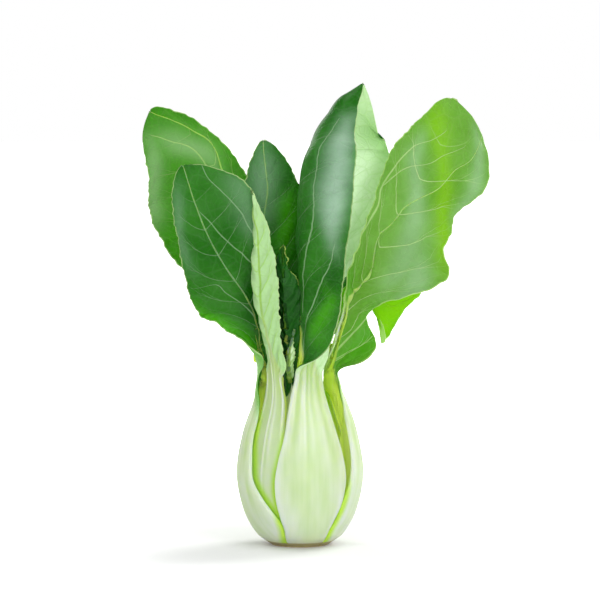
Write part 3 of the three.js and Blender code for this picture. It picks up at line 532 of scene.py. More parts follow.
# ---- Studio ----
VIEW_WIDTH = 0.258  # what the camera takes in at the head
SENSOR_WIDTH = 36  # in millimetres
FLOOR_SIZE = 14
WORLD_LIGHT = 0.4
LAMPS_AIM = (0, 0, 0.1)
LAMPS = [  # name, place, size, power, colour
    ("key", (0.85, -1.35, 0.6), (0.6, 0.9), 11, (0.97, 0.99, 1)),
    ("front", (0.1, -1.9, 0.16), (1.2, 0.3), 8, (0.97, 0.99, 1)),
    ("fill", (-1.1, -1.1, 0.5), (0.8, 1.0), 5, (1, 1, 1)),
    ("back left", (-0.9, 1.1, 0.7), (0.9, 0.9), 8, (1, 1, 1)),
    ("back right", (1.0, 1.0, 0.8), (0.9, 0.9), 19, (1, 1, 1)),
    ("top", (0.1, 0.0, 1.6), (1.0, 1.0), 9, (1, 1, 1)),
]


# ---- Measuring along tables ----
def smooth(rows, places):
    """A smooth curve through rows of [place, value, ...], read at each of the places."""
    table = np.array(rows, float)
    at, values = table[:, 0], table[:, 1:]
    slopes = np.empty_like(values)
    slopes[1:-1] = (values[2:] - values[:-2]) / (at[2:] - at[:-2])[:, None]
    slopes[0] = (values[1] - values[0]) / (at[1] - at[0])
    slopes[-1] = (values[-1] - values[-2]) / (at[-1] - at[-2])
    x = np.clip(np.atleast_1d(places), at[0], at[-1])
    i = np.clip(np.searchsorted(at, x, side="right") - 1, 0, len(at) - 2)
    span = (at[i + 1] - at[i])[:, None]
    f = (x - at[i])[:, None] / span
    out = (
        (2 * f**3 - 3 * f**2 + 1) * values[i] + (f**3 - 2 * f**2 + f) * span * slopes[i]
        + (3 * f**2 - 2 * f**3) * values[i + 1] + (f**3 - f**2) * span * slopes[i + 1]
    )
    return out[:, 0] if out.shape[1] == 1 else out


def ease(value, start, end):
    """0 before start, 1 after end and smooth between."""
    f = np.clip((value - start) / (end - start), 0, 1)
    return f * f * (3 - 2 * f)


def unit(vectors):
    """The vectors at a length of 1."""
    return vectors / np.maximum(np.linalg.norm(vectors, axis=-1, keepdims=True), 1e-9)


# ---- A leaf's sheet ----
def spine_line(leaf, places):
    """Points of the midrib, and the lengths of the stalk and of the blade."""
    angle = math.radians(leaf["azimuth"])
    foot, top = leaf.get("foot", FOOT_HEIGHT), leaf["spine"][0][2]
    heights = foot + np.array(STALK_LEVELS) * (top - foot)
    radii = smooth(BULB, heights) * leaf["layer"]
    stalk = np.stack([radii * math.cos(angle), radii * math.sin(angle), heights], 1)
    points = np.vstack([stalk, np.array(leaf["spine"], float)])
    run = np.r_[0, np.cumsum(np.linalg.norm(np.diff(points, axis=0), axis=1))]
    at = np.linspace(0, run[-1], 1201)
    fine = smooth(np.c_[run, points], at)
    length = np.r_[0, np.cumsum(np.linalg.norm(np.diff(fine, axis=0), axis=1))]
    neck, whole = np.interp(run[len(stalk)], at, length), length[-1]
    where = np.where(places < 1, places * neck, neck + (places - 1) * (whole - neck))
    line = np.stack([np.interp(where, length, fine[:, c]) for c in range(3)], 1)
    return line, neck, whole - neck


def side_rows(leaf, side):
    """Rows of [place, half width, fold, bend] for the stalk and the blade of one side."""
    _, neck, _, neck_bend = leaf[side][0]
    belly = leaf["stalk"] * dict(STALK_WIDTH)[BELLY_END]
    taper = leaf.get("taper", 1)
    widths = leaf.get(side + "_stalk") or [
        [p, leaf["stalk"] * share if p <= BELLY_END else neck + (belly - neck) * share**taper]
        for p, share in STALK_WIDTH
    ]
    stalk = [[p, width, 0, neck_bend] for p, width in widths]
    return stalk + [[1 + p, *rest] for p, *rest in leaf[side]]


def sheet_normals(points):
    """Outward normals of a sheet of points."""
    return unit(np.cross(np.gradient(points, axis=1), np.gradient(points, axis=0)))


def margin_teeth(leaf, side, blade):
    """How far a blade's margin stands out or in at each share of the blade: fine, uneven teeth."""
    shift = 0.37 * leaf["azimuth"] + (2.1 if side == "left" else 0)
    wave = sum(
        share * np.sin(2 * math.pi * pitch * TEETH_COUNT * blade + k * shift)
        for k, (share, pitch) in enumerate(TEETH_WAVES, 1)
    )
    return TEETH_HEIGHT * wave * ease(blade, 0.03, 0.2)


def leaf_sheet(leaf, places, sides):
    """The outer face as points [place, side], how far each is from the midrib, and both lengths."""
    line, stalk_length, blade_length = spine_line(leaf, places)
    along = unit(np.gradient(line, axis=0))
    angle = math.radians(leaf["azimuth"])
    # The outward direction follows the line up without twisting round it, then the leaf turns.
    out = np.array([math.cos(angle), math.sin(angle), 0.0])
    outward = np.empty_like(along)
    for i, direction in enumerate(along):
        out = out - direction * (out @ direction)
        out /= np.linalg.norm(out)
        outward[i] = out
    if "turn" in leaf:
        turn = np.radians(smooth(leaf["turn"], places))[:, None]
        outward = outward * np.cos(turn) + np.cross(along, outward) * np.sin(turn)
    hug = 1 - ease(places, *HUG)[:, None]
    outward = unit(outward * (1 - hug) + unit(line * [1, 1, 0]) * hug)
    across = unit(np.cross(along, outward))

    # Each side bends step by step away from the midrib, in a plane square to it.
    blade = places - 1
    close_from, close_shape = leaf["round"]
    closing = np.clip((blade - close_from) / (1 - close_from), 0, 1)
    cap = np.maximum((1 - closing**2) ** close_shape, TIP_WIDTH)
    middle = len(sides) // 2
    points = np.repeat(line[:, None], len(sides), 1)
    reach = np.zeros((len(places), len(sides)))
    for side, sign in (("left", -1), ("right", 1)):
        half, fold, free_bend = smooth(side_rows(leaf, side), places).T
        half = half * cap
        bend = np.degrees(half / np.hypot(line[:, 0], line[:, 1]))
        bend = bend + (free_bend - bend) * ease(places, *FREE)
        half = half + margin_teeth(leaf, side, blade) * cap
        columns = np.arange(middle, len(sides) if side == "right" else -1, sign)
        q = np.abs(sides[columns])
        between = (q[1:] + q[:-1]) / 2
        turned = 1 - (1 - between) ** leaf.get("roll", 1)
        curl = leaf.get(side + "_curl", MARGIN_CURL) * ease(places, 1.02, 1.2)[:, None]
        tilt = np.radians(fold[:, None] + bend[:, None] * turned + curl * ease(between, 0.86, 1))
        step = half[:, None] * np.diff(q)
        sideways = np.cumsum(np.cos(tilt) * step, 1)[..., None]
        inward = np.cumsum(np.sin(tilt) * step, 1)[..., None]
        points[:, columns[1:]] += sign * sideways * across[:, None] - inward * outward[:, None]
        reach[:, columns[1:]] = half[:, None] * q[1:]
    return points, reach, stalk_length, blade_length


def ripple(leaf, points, places, sides):
    """Lifts the margins of the blade into broad waves, with finer ruffles on them."""
    blade = np.clip(places - 1, 0, 1)[:, None]
    # The waves fade out towards the neck and the tip.
    span = np.clip(blade / 0.15, 0, 1) * np.clip((1.02 - blade) / 0.1, 0, 1)
    normals = sheet_normals(points)
    for name, sign in (("left", -1), ("right", 1)):
        q = np.clip(sides * sign, 0, 1)[None]
        lift = 0
        if name + "_waves" in leaf:
            height, count, phase = leaf[name + "_waves"]
            lift = height * q**2.5 * np.sin(2 * math.pi * (count * blade + phase))
        height, count = leaf.get("ruffles", RUFFLES)
        uneven = np.sin(2 * math.pi * (count * blade + 0.6 * np.sin(9 * blade + leaf["azimuth"])))
        lift = lift + height * q**6 * uneven
        points = points + (span * lift)[..., None] * normals
    return points


# ---- Veins and ribs ----
def lateral_veins(places, sides, reach, blade_length):
    """Numbers the lateral veins: whole numbers lie on veins. Also the space between neighbours."""
    blade = np.clip(places - 1, -0.2, 1.05)
    number = np.zeros((len(places), len(sides)))
    gap = np.ones_like(number)
    starts, ends = np.array(VEINS).T
    order = np.arange(len(VEINS))
    for j, side in enumerate(sides):
        s = abs(side)
        crossing = starts + (ends - starts) * s**VEIN_SWEEP
        number[:, j] = np.interp(blade, crossing, order)
        before = blade < crossing[0]
        after = blade > crossing[-1]
        number[before, j] = (blade[before] - crossing[0]) / (crossing[1] - crossing[0])
        number[after, j] = order[-1] + (blade[after] - crossing[-1]) / (crossing[-1] - crossing[-2])
        steep = (ends - starts) * VEIN_SWEEP * max(s, 0.05) ** (VEIN_SWEEP - 1) * blade_length
        margin = reach[:, -1 if side >= 0 else 0]
        half = np.interp(np.clip(crossing + 1, 1, 2), places, margin) + 1e-6
        lean = 1 / np.hypot(1, steep / half)
        gap[:, j] = np.interp(blade, crossing, np.gradient(crossing) * blade_length * lean)
    return number, gap


def strands(leaf, places, sides, reach):
    """Height of the ribs up a stalk, from 0 between them to 1 on a rib. Each fades out downwards."""
    draw = np.random.default_rng(int(10 * leaf["azimuth"]) + STRAND_SEED)
    half = np.maximum(reach.max(1), 1e-6)[:, None]
    q = reach * np.sign(sides)[None] / half
    count = leaf.get("strands", STRANDS)
    height = np.zeros_like(q)
    for k in range(count):
        centre = -STRAND_SPAN + 2 * STRAND_SPAN * (k + 0.5 + draw.uniform(-0.3, 0.3)) / count
        wide, strong, end = draw.uniform(0.05, 0.1), draw.uniform(0.5, 1), draw.uniform(0.25, 0.6)
        fade = ease(places, end - 0.15, end + 0.3)[:, None]
        height += strong * fade * np.exp(-(((q - centre) / wide) ** 2))
    return np.clip(height, 0, 1)


def course(rows, places, fade):
    """How far right of the midrib a course runs at each place, its half width, and how much shows."""
    offset, half = smooth(rows, places).T
    first, last = rows[0][0], rows[-1][0]
    shown = ease(places, first - fade, first + fade) * (1 - ease(places, last - fade, last + fade))
    return offset[:, None], half[:, None], shown[:, None]


def band(courses, places, across):
    """How strongly soft bands along courses show at each point, from 0 to 1."""
    strength = np.zeros_like(across)
    for rows in courses:
        offset, half, shown = course(rows, places, BAND_FADE)
        strength = np.maximum(strength, shown * np.exp(-(((across - offset) / half) ** 2)))
    return strength


def thickness_of(leaf, places, sides, from_rib):
    """Thickness of the flesh under each point: the rib's, the sheet's or the stalk's rims'."""
    sheet = smooth(SHEET_THICKNESS, places)[:, None]
    rib = smooth(RIB_THICKNESS, places)[:, None] * leaf.get("thickness", 1)
    wide = smooth(RIB_REACH, places)[:, None]
    flesh = sheet + (rib - sheet) * np.exp(-((from_rib / wide) ** 2))
    rim = np.where(sides < 0, leaf.get("left_rim", 0), leaf.get("right_rim", 0))[None]
    return np.maximum(flesh, rim * smooth(RIM_FADE, places)[:, None] * np.abs(sides)[None])


def undulation(along, across, seed):
    """Slow uneven swelling of a blade, between -1 and 1."""
    total = 0
    for k, (a, b) in enumerate(SWELL_WAVES):
        total = total + np.sin(a * along + b * across + seed * (k + 1.3)) / (1 + 0.5 * k)
    return total / 2.6


def leaf_grid(leaf, quick):
    """Places along a leaf and sides across it, closer together where the leaf curves most."""
    along_stalk, along_blade, half = SMALL_GRID if leaf.get("small") else GRID
    if quick:
        along_stalk, along_blade, half = (count // 2 for count in (along_stalk, along_blade, half))
    t = np.linspace(0, 1, along_blade + 1)[1:]
    places = np.r_[np.linspace(0, 1, along_stalk + 1), 1 + (1 - (1 - t) ** TIP_CROWDING)]
    t = np.linspace(0, 1, half + 1)[1:]
    q = t - SIDE_CROWDING * np.sin(2 * math.pi * t)
    return places, np.r_[-q[::-1], 0, q]


def painted_courses(leaf, places, across):
    """The marks that colour a leaf's bands of painted sheen, glow and shade, and its long veins. On a long
    vein, the mark is from -1 to 1.
    """
    marks = {}
    for name in BANDS:
        marks[name] = band(leaf.get(name, []), places, across) * leaf.get(name + "_share", 1)
    for k in range(LONG_VEINS):
        marks["long_%d" % k] = np.full_like(across, FAR)
    for k, rows in enumerate(leaf.get("long_veins", [])):
        offset, half, shown = course(rows, places, LONG_VEIN_FADE)
        marks["long_%d" % k] = (across - offset) / np.maximum(half * shown, 0.01)
    return marks


def leaf_shape(leaf, size, quick):
    """All that the mesh of a leaf needs, as arrays over its grid of points."""
    places, sides = leaf_grid(leaf, quick)
    points, reach, stalk_length, blade_length = leaf_sheet(leaf, places, sides)
    points = ripple(leaf, points, places, sides)
    number, gap = lateral_veins(places, sides, reach, blade_length)
    off = np.abs(number - np.round(number))
    blade = ease(places, 1.0, 1.15)[:, None] * ease(2 - places, 0, 0.12)[:, None]
    vein = np.exp(-((off * gap / VEIN_RIDGE) ** 2)) * blade
    vein = vein * (1 - 0.5 * np.abs(sides)[None]) * ease(reach, 1, 4)
    pillow = 0.5 - 0.5 * np.cos(2 * math.pi * np.minimum(off, 0.5))
    ribs = strands(leaf, places, sides, reach)
    ribbed = (ease(places, 0.12, 0.9) * (1 - ease(places, 1.0, 1.25)))[:, None]

    past_neck = stalk_length + (places - 1) * blade_length
    along = np.where(places < 1, places * stalk_length, past_neck)[:, None]
    across = reach * np.sign(sides)[None]
    swell = undulation(along, across, leaf["azimuth"]) * ease(places, 1.0, 1.3)[:, None]
    lift = (
        size.vein_height / MM * vein
        - size.pillow_depth / MM * pillow * blade * (1 - np.abs(sides)[None] ** 3)
        + size.rib_height / MM * ribs * ribbed
        + size.swell / MM * swell
    )
    from_rib = across - smooth(leaf.get("rib_path", STRAIGHT), places)[:, None]
    thickness = thickness_of(leaf, places, sides, from_rib) + VEIN_FLESH * size.vein_height / MM * vein
    # Round the margins: over the last bit before the edge both faces close in.
    half_width = np.maximum(np.where(sides[None] < 0, reach[:, :1], reach[:, -1:]), 0.5)
    radius = np.minimum(np.minimum(0.45 * thickness, MARGIN_RADIUS), 0.45 * half_width)
    over = np.clip(1 - (half_width - reach) / radius, 0, 1)
    cut = radius * (1 - np.sqrt(1 - over**2))
    points = points + sheet_normals(points) * (lift - cut)[..., None]
    marks = {
        "across": np.repeat(sides[None], len(places), 0),
        "along": np.repeat(places[:, None], len(sides), 1),
        "lateral": number, "gap": gap, "strand": ribs,
        "lines": np.full_like(reach, leaf.get("lines", LINES)),
        "from_rib": from_rib / smooth(leaf.get("rib_width", RIB_WIDTH), places)[:, None],
        "from_edge": half_width - reach,
        **painted_courses(leaf, places, across),
    }
    thickness = np.maximum(thickness - 2 * cut, 0.1 * thickness)
    return {"points": points, "thickness": thickness, "across": across, "along": along, "marks": marks}


# ---- Meshes ----
SHEETS = []  # the sheets grown so far, outermost first, for finding what lies over what


def deselect():
    """Leaves nothing selected, because an operator acts on all that is."""
    for ob in bpy.context.selected_objects:
        ob.select_set(False)


def apply_modifier(ob, kind, **settings):
    """Adds a modifier with its settings and applies it."""
    bpy.context.view_layer.objects.active = ob
    bpy.ops.object.modifier_add(type=kind)
    modifier = ob.modifiers[-1]
    for name, value in settings.items():
        setattr(modifier, name, value)
    bpy.ops.object.modifier_apply(modifier=modifier.name)


def covered(points):
    """1 where one of the sheets lies close over a point, and 0 where none does."""
    near = np.zeros(len(points))
    for tree in SHEETS:
        for k, point in enumerate(points):
            found = tree.find_nearest(point, PAINTED_SEAM_GLOW_WIDTH[1])
            if found[0] is not None:
                near[k] = max(near[k], 1 - ease(found[3], *PAINTED_SEAM_GLOW_WIDTH))
    return near


def remember_sheet(points, columns):
    """Adds a leaf's outer face to the sheets that later leaves are measured against."""
    first = range(len(points) - columns)
    faces = [(k, k + 1, k + columns + 1, k + columns) for k in first if (k + 1) % columns]
    SHEETS.append(BVHTree.FromPolygons([Vector(p) for p in points], faces))


def lay_grid(name, shape):
    """A grid laid on the outer face of a leaf, with its marks as attributes and its map."""
    rows, columns = shape["points"].shape[:2]
    deselect()
    bpy.ops.mesh.primitive_grid_add(x_subdivisions=columns - 1, y_subdivisions=rows - 1, size=2)
    ob = bpy.context.object
    ob.name = ob.data.name = name
    mesh = ob.data
    flat = np.empty(len(mesh.vertices) * 3)
    mesh.vertices.foreach_get("co", flat)
    flat = flat.reshape(-1, 3)
    j = np.rint((flat[:, 0] + 1) / 2 * (columns - 1)).astype(int)
    i = np.rint((flat[:, 1] + 1) / 2 * (rows - 1)).astype(int)

    points = shape["points"] * MM
    mesh.vertices.foreach_set("co", points[i, j].ravel())
    points = points.reshape(-1, 3)
    marks = {**shape["marks"], "covered": covered(points).reshape(rows, columns)}
    for mark, values in marks.items():
        attribute = mesh.attributes.new(mark, "FLOAT", "POINT")
        attribute.data.foreach_set("value", values[i, j].astype(np.float32))
    remember_sheet(points, columns)

    corners = np.empty(len(mesh.loops), int)
    mesh.loops.foreach_get("vertex_index", corners)
    place = np.stack([shape["across"][i, j], shape["along"][i, 0]], 1)[corners]
    layer = mesh.uv_layers.active
    layer.name = "leaf_map"
    layer.uv.foreach_set("vector", (place * MM * MAP_SCALE).astype(np.float32).ravel())
    return ob, shape["thickness"][i, j]


def grow_leaf(leaf, size, materials):
    """One leaf: a grid laid along its midrib, thickened to a fleshy stalk and a thin blade."""
    ob, thickness = lay_grid(leaf["name"] + "_veined", leaf_shape(leaf, size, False))
    thickest = thickness.max()
    group = ob.vertex_groups.new(name="thickness")
    for index, weight in enumerate(thickness / thickest):
        group.add([index], float(weight), "REPLACE")
    for material in materials:
        ob.data.materials.append(material)
    apply_modifier(
        ob, "SOLIDIFY", thickness=float(thickest) * MM, offset=-1, vertex_group="thickness",
        use_quality_normals=True, use_even_offset=False, material_offset=1, material_offset_rim=2,
    )
    ob.vertex_groups.clear()
    bpy.ops.object.shade_smooth_by_angle(angle=math.radians(55))
    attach(ob, "root")
    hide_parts(leaf["name"])


# ---- Materials ----
def tint(red, green, blue):
    """A colour given in 0 to 255 as the linear colour that shaders take."""
    channels = [c / 255 for c in (red, green, blue)]
    return (*[c / 12.92 if c <= 0.04045 else ((c + 0.055) / 1.055) ** 2.4 for c in channels], 1)


class Nodes:
    """Adds nodes to a tree. Each input is another node's output, which is linked, or a plain value."""

    def __init__(self, tree):
        self.tree = tree

    def feed(self, target, inputs):
        """Links or sets the inputs of a node, by name or number."""
        for name, value in inputs.items():
            if isinstance(value, bpy.types.NodeSocket):
                self.tree.links.new(value, target[name])
            else:
                target[name].default_value = value

    def node(self, kind, inputs, **settings):
        """A new node. Returns its outputs."""
        node = self.tree.nodes.new("ShaderNode" + kind)
        for name, value in settings.items():
            setattr(node, name, value)
        self.feed(node.inputs, inputs)
        return node.outputs

    def add(self, kind, inputs, output=0, **settings):
        """A new node. Returns one of its outputs, by name or number."""
        return self.node(kind, inputs, **settings)[output]

    def group(self, name, inputs):
        """A shared group, placed with its own values. Returns its outputs."""
        return self.node("Group", inputs, node_tree=shared_group(name))

    def math(self, operation, *values):
        return self.add("Math", dict(enumerate(values)), operation=operation)

    def chain(self, operation, first, *others):
        """One operation on several values, from the first to the last."""
        for other in others:
            first = self.math(operation, first, other)
        return first

    def times(self, *values):
        return self.chain("MULTIPLY", *values)

    def total(self, *values):
        return self.chain("ADD", *values)

    def highest(self, *values):
        return self.chain("MAXIMUM", *values)

    def less(self, value, taken):
        return self.math("SUBTRACT", value, taken)

    def absolute(self, value):
        return self.math("ABSOLUTE", value)

    def noise(self, place, scale, detail, **more):
        inputs = {"Vector": place, "Scale": scale, "Detail": detail, **more}
        return self.add("TexNoise", inputs, "Fac")

    def mix(self, factor, a, b):
        return self.add("Mix", {0: factor, 6: a, 7: b}, 2, data_type="RGBA")

    def ramp(self, value, start, end, low=0.0, high=1.0):
        """low at start, high at end, smooth between."""
        inputs = {"Value": value, "From Min": start, "From Max": end, "To Min": low, "To Max": high}
        return self.add("MapRange", inputs, interpolation_type="SMOOTHSTEP")

    def mark(self, name):
        """One of the leaf's attributes."""
        return self.add("Attribute", {}, "Fac", attribute_name=name)


SOCKETS = {"value": "NodeSocketFloat", "colour": "NodeSocketColor", "vector": "NodeSocketVector"}


def shader_group(name, inputs, outputs):
    """A new shader node group. Returns its Nodes, the inputs that it is given and those of its result."""
    tree = bpy.data.node_groups.new(name, "ShaderNodeTree")
    for in_out, sockets in (("INPUT", inputs), ("OUTPUT", outputs)):
        for kind, names in sockets.items():
            for socket in names:
                tree.interface.new_socket(name=socket, in_out=in_out, socket_type=SOCKETS[kind])
    given = tree.nodes.new("NodeGroupInput")
    result = tree.nodes.new("NodeGroupOutput")
    return Nodes(tree), given.outputs, result.inputs


def vein_lines_group():
    """Thin lines on the lateral veins, which fork towards the margin."""
    n, given, result = shader_group(
        "Vein lines", {"vector": ["Map"], "value": ["Lateral", "Gap", "Across", "Along", "Width"]},
        {"value": ["Mask"]},
    )
    wander = n.noise(given["Map"], 6, 1)
    place = n.math("MULTIPLY_ADD", wander, 0.2, n.less(given["Lateral"], 0.1))
    share = n.absolute(given["Across"])
    width = n.times(given["Width"], n.ramp(share, 0, 1, 1, 0.42))

    def line(at, wide):
        off = n.absolute(n.less(at, n.math("ROUND", at)))
        distance = n.times(off, given["Gap"])
        return n.ramp(n.math("DIVIDE", distance, wide), 0.4, 1.0, 1, 0)

    mask = line(place, width)
    for start, end, apart in VEIN_FORKS:
        branch = n.total(place, n.ramp(share, start, end, 0, apart))
        thin = n.times(width, n.ramp(share, start, start + 0.05, 0.05, 0.62))
        mask = n.highest(mask, line(branch, thin))
    mask = n.times(mask, n.ramp(share, 0.55, 1.0, 1, 0.15), n.ramp(given["Along"], 1.76, 1.93, 1, 0))
    n.feed(result, {"Mask": mask})
    return n.tree


def vein_net_group():
    """The net of fine veins between the lateral veins: large meshes with small ones in them."""
    inputs = {"vector": ["Map"], "value": ["Mesh"]}
    n, given, result = shader_group("Vein net", inputs, {"value": ["Net"]})
    noise = n.add("TexNoise", {"Vector": given["Map"], "Scale": 16, "Detail": 2}, "Color")
    shift = n.add("VectorMath", {0: noise, 1: (0.5, 0.5, 0.5)}, operation="SUBTRACT")
    place = n.add("VectorMath", {0: shift, 1: (0.035,) * 3, 2: given["Map"]}, operation="MULTIPLY_ADD")
    nets = []
    for share, strength, wide in NET_LEVELS:
        scale = n.math("DIVIDE", 100 / share, given["Mesh"])
        edge = n.add(
            "TexVoronoi", {"Vector": place, "Scale": scale}, "Distance",
            feature="DISTANCE_TO_EDGE", voronoi_dimensions="2D",
        )
        nets.append(n.ramp(edge, 0.0, wide, strength, 0))
    n.feed(result, {"Net": n.highest(*nets)})
    return n.tree


def stalk_group():
    """Colour of a stalk: nearly white ribs and margins over pale green, a greener neck and painted glow at
    its seams.
    """
    n, given, result = shader_group(
        "Stalk strands",
        {
            "vector": ["Map"], "value": ["Along", "Across", "Strand", "Covered"],
            "colour": list(STALK["under"]),
        },
        {"colour": ["Colour"], "value": ["Height"]},
    )
    drawn = n.add("Mapping", {"Vector": given["Map"], "Scale": (7, 0.45, 1)})
    streak = n.noise(drawn, 5, 3, Roughness=0.55)
    fine = n.noise(drawn, 22, 2)
    drawn_less = n.add("Mapping", {"Vector": given["Map"], "Scale": (5, 1.6, 1)})
    slow = n.noise(drawn_less, 1.6, 2)
    streaked = n.total(
        n.ramp(streak, 0.25, 0.75, 0, 0.2), n.times(fine, 0.06), n.ramp(slow, 0.3, 0.7, 0, 0.5),
    )
    edge = n.ramp(n.absolute(given["Across"]), 0.72, 1.0, 0, 0.5)
    pale = n.total(
        streaked, edge, n.times(given["Strand"], 0.55), n.ramp(given["Along"], 0.1, 0.5, 0.3, 0),
    )
    colour = n.mix(pale, given["Groove"], given["Ridge"])
    green = n.times(n.ramp(given["Along"], 0.6, 1.2, 0, 0.9), n.less(1.2, pale))
    colour = n.mix(green, colour, given["Neck"])
    colour = n.mix(n.ramp(given["Along"], 0.0, 0.14, 0.8, 0), colour, given["Foot"])
    # Painted light: a glowing yellow-green at the seam where another leaf lies close over the stalk.
    colour = n.mix(n.times(given["Covered"], 0.9), colour, given["Seam"])
    dry = n.math("MULTIPLY_ADD", streak, 0.008, given["Along"])
    colour = n.mix(n.ramp(dry, 0.03, 0.046, 0.95, 0), colour, given["Cut"])
    n.feed(result, {"Colour": colour, "Height": n.math("MULTIPLY_ADD", fine, 0.4, streak)})
    return n.tree


GROUPS = {"Vein lines": vein_lines_group, "Vein net": vein_net_group, "Stalk strands": stalk_group}


def shared_group(name):
    """A shader node group by its name, built when it is first asked for."""
    return bpy.data.node_groups.get(name) or GROUPS[name]()


def new_material(name):
    """A material with no nodes yet. Returns it and its Nodes."""
    material = bpy.data.materials.new(name)
    material.use_nodes = True
    material.node_tree.nodes.clear()
    return material, Nodes(material.node_tree)


def tissue_colour(n, place, shown, strong, net, colours, look):
    """Colour of a blade: patchy tissue, bands of painted shade, glow and sheen over it, then veins. Also
    the patches.
    """
    patches = n.noise(place, 38, 3, Distortion=0.4)
    uneven = n.ramp(patches, 0.25, 0.75, 0.75, 1.0)
    colour = n.mix(n.ramp(patches, 0.32, 0.68), colours["deep"], colours["fresh"])
    # The bands are painted light: painted shade, painted glow and painted sheen over the tissue.
    for part, strength in BANDS.items():
        share = n.times(n.mark(part), uneven, strength)
        colour = n.mix(share, colour, colours[part])
    for share in (n.times(net, look["net"]), shown, n.times(strong, VEIN_STRENGTH)):
        colour = n.mix(share, colour, colours["vein"])
    return colour, patches


def leaf_relief(n, place, lines, strong, net, ribbed, strand_height, look):
    """Bump of veins and net on the blade, of strands on the rib, and of fine grain on both."""
    relief = n.math("MULTIPLY_ADD", net, 0.8, n.highest(lines, strong))
    relief = n.times(relief, look["relief"], n.less(1, ribbed))
    relief = n.math("MULTIPLY_ADD", n.noise(place, 900, 2), 0.25, relief)
    relief = n.total(relief, n.times(strand_height, ribbed, 0.6))
    return n.add("Bump", {"Height": relief, "Strength": 0.7, "Distance": 0.0002})


def leaf_material(name, tone, face):
    """The finish of one face of a leaf: its pale stalk and rib, its veins and the tissue between them."""
    look = FACES[face]
    colours = {part: tint(*colour) for part, colour in tone[look["tissue"]].items()}
    material, n = new_material(name)
    uv = n.add("UVMap", {}, uv_map="leaf_map")
    place = n.add("TexCoord", {}, "Object")
    across, along = n.mark("across"), n.mark("along")
    ribbed = n.ramp(n.absolute(n.mark("from_rib")), 0.65, 1.25, 1, 0)

    lines = n.group("Vein lines", {
        "Map": uv, "Lateral": n.mark("lateral"), "Gap": n.mark("gap"), "Across": across, "Along": along,
        "Width": look["vein_width"],
    })["Mask"]
    shown = n.times(lines, n.times(n.mark("lines"), look["lines"]))
    long_veins = [n.absolute(n.mark("long_%d" % k)) for k in range(LONG_VEINS)]
    strong = n.highest(*[n.ramp(vein, 0.55, 1.3, 1, 0) for vein in long_veins])
    net = n.group("Vein net", {"Map": uv, "Mesh": MESH_SIZE})["Net"]
    blade, patches = tissue_colour(n, place, shown, strong, net, colours, look)
    rim = n.ramp(n.mark("from_edge"), 0.3 * RIM_WIDTH, RIM_WIDTH, 1, 0)
    rim = n.times(rim, n.ramp(along, 1.0, 1.1, 0, look["rim"]))
    blade = n.mix(rim, blade, tint(*tone["rim"]))

    stalk = n.group("Stalk strands", {
        "Map": uv, "Along": along, "Across": across, "Strand": n.mark("strand"),
        "Covered": n.mark("covered"), **{part: tint(*colour) for part, colour in STALK[face].items()},
    })
    rib = n.mix(n.ramp(along, 1.05, 1.5), stalk["Colour"], colours["vein"])
    bump = leaf_relief(n, place, lines, strong, net, ribbed, stalk["Height"], look)

    rough = n.ramp(patches, 0.3, 0.7, look["roughness"] - 0.04, look["roughness"] + 0.06)
    surface = n.add("BsdfPrincipled", {
        "Base Color": n.mix(ribbed, blade, rib),
        "Roughness": n.add("Mix", {0: ribbed, 2: rough, 3: RIB_ROUGHNESS}),
        "Normal": bump, "IOR": 1.45, "Specular IOR Level": look["specular"],
        "Subsurface Weight": n.times(ribbed, 0.6),
        "Subsurface Radius": (0.9, 1.0, 0.3), "Subsurface Scale": 0.006,
        "Coat Weight": n.ramp(n.mark("painted_sheen"), 0, 1, look["coat"], 5 * look["coat"]),
        "Coat Roughness": 0.3,
    })
    vein_shadow = n.times(n.highest(shown, strong), VEIN_STRENGTH)
    lit = n.mix(vein_shadow, tint(*tone["through"][look["tissue"]]), colours["vein"])
    through = n.add("BsdfTranslucent", {"Color": n.mix(ribbed, lit, rib), "Normal": bump})
    share = n.ramp(ribbed, 0, 1, look["through"], look["rib_through"])
    n.node("OutputMaterial", {"Surface": n.add("MixShader", {0: share, 1: surface, 2: through})})


def leaf_materials(tone):
    """The three materials of a tone, each made once: outer face, inner face and margin."""
    names = {face: "%s %s" % (tone, face) for face in FACES}
    for face, name in names.items():
        if name not in bpy.data.materials:
            leaf_material(name, TONES[tone], face)
    return [bpy.data.materials[name] for name in names.values()]


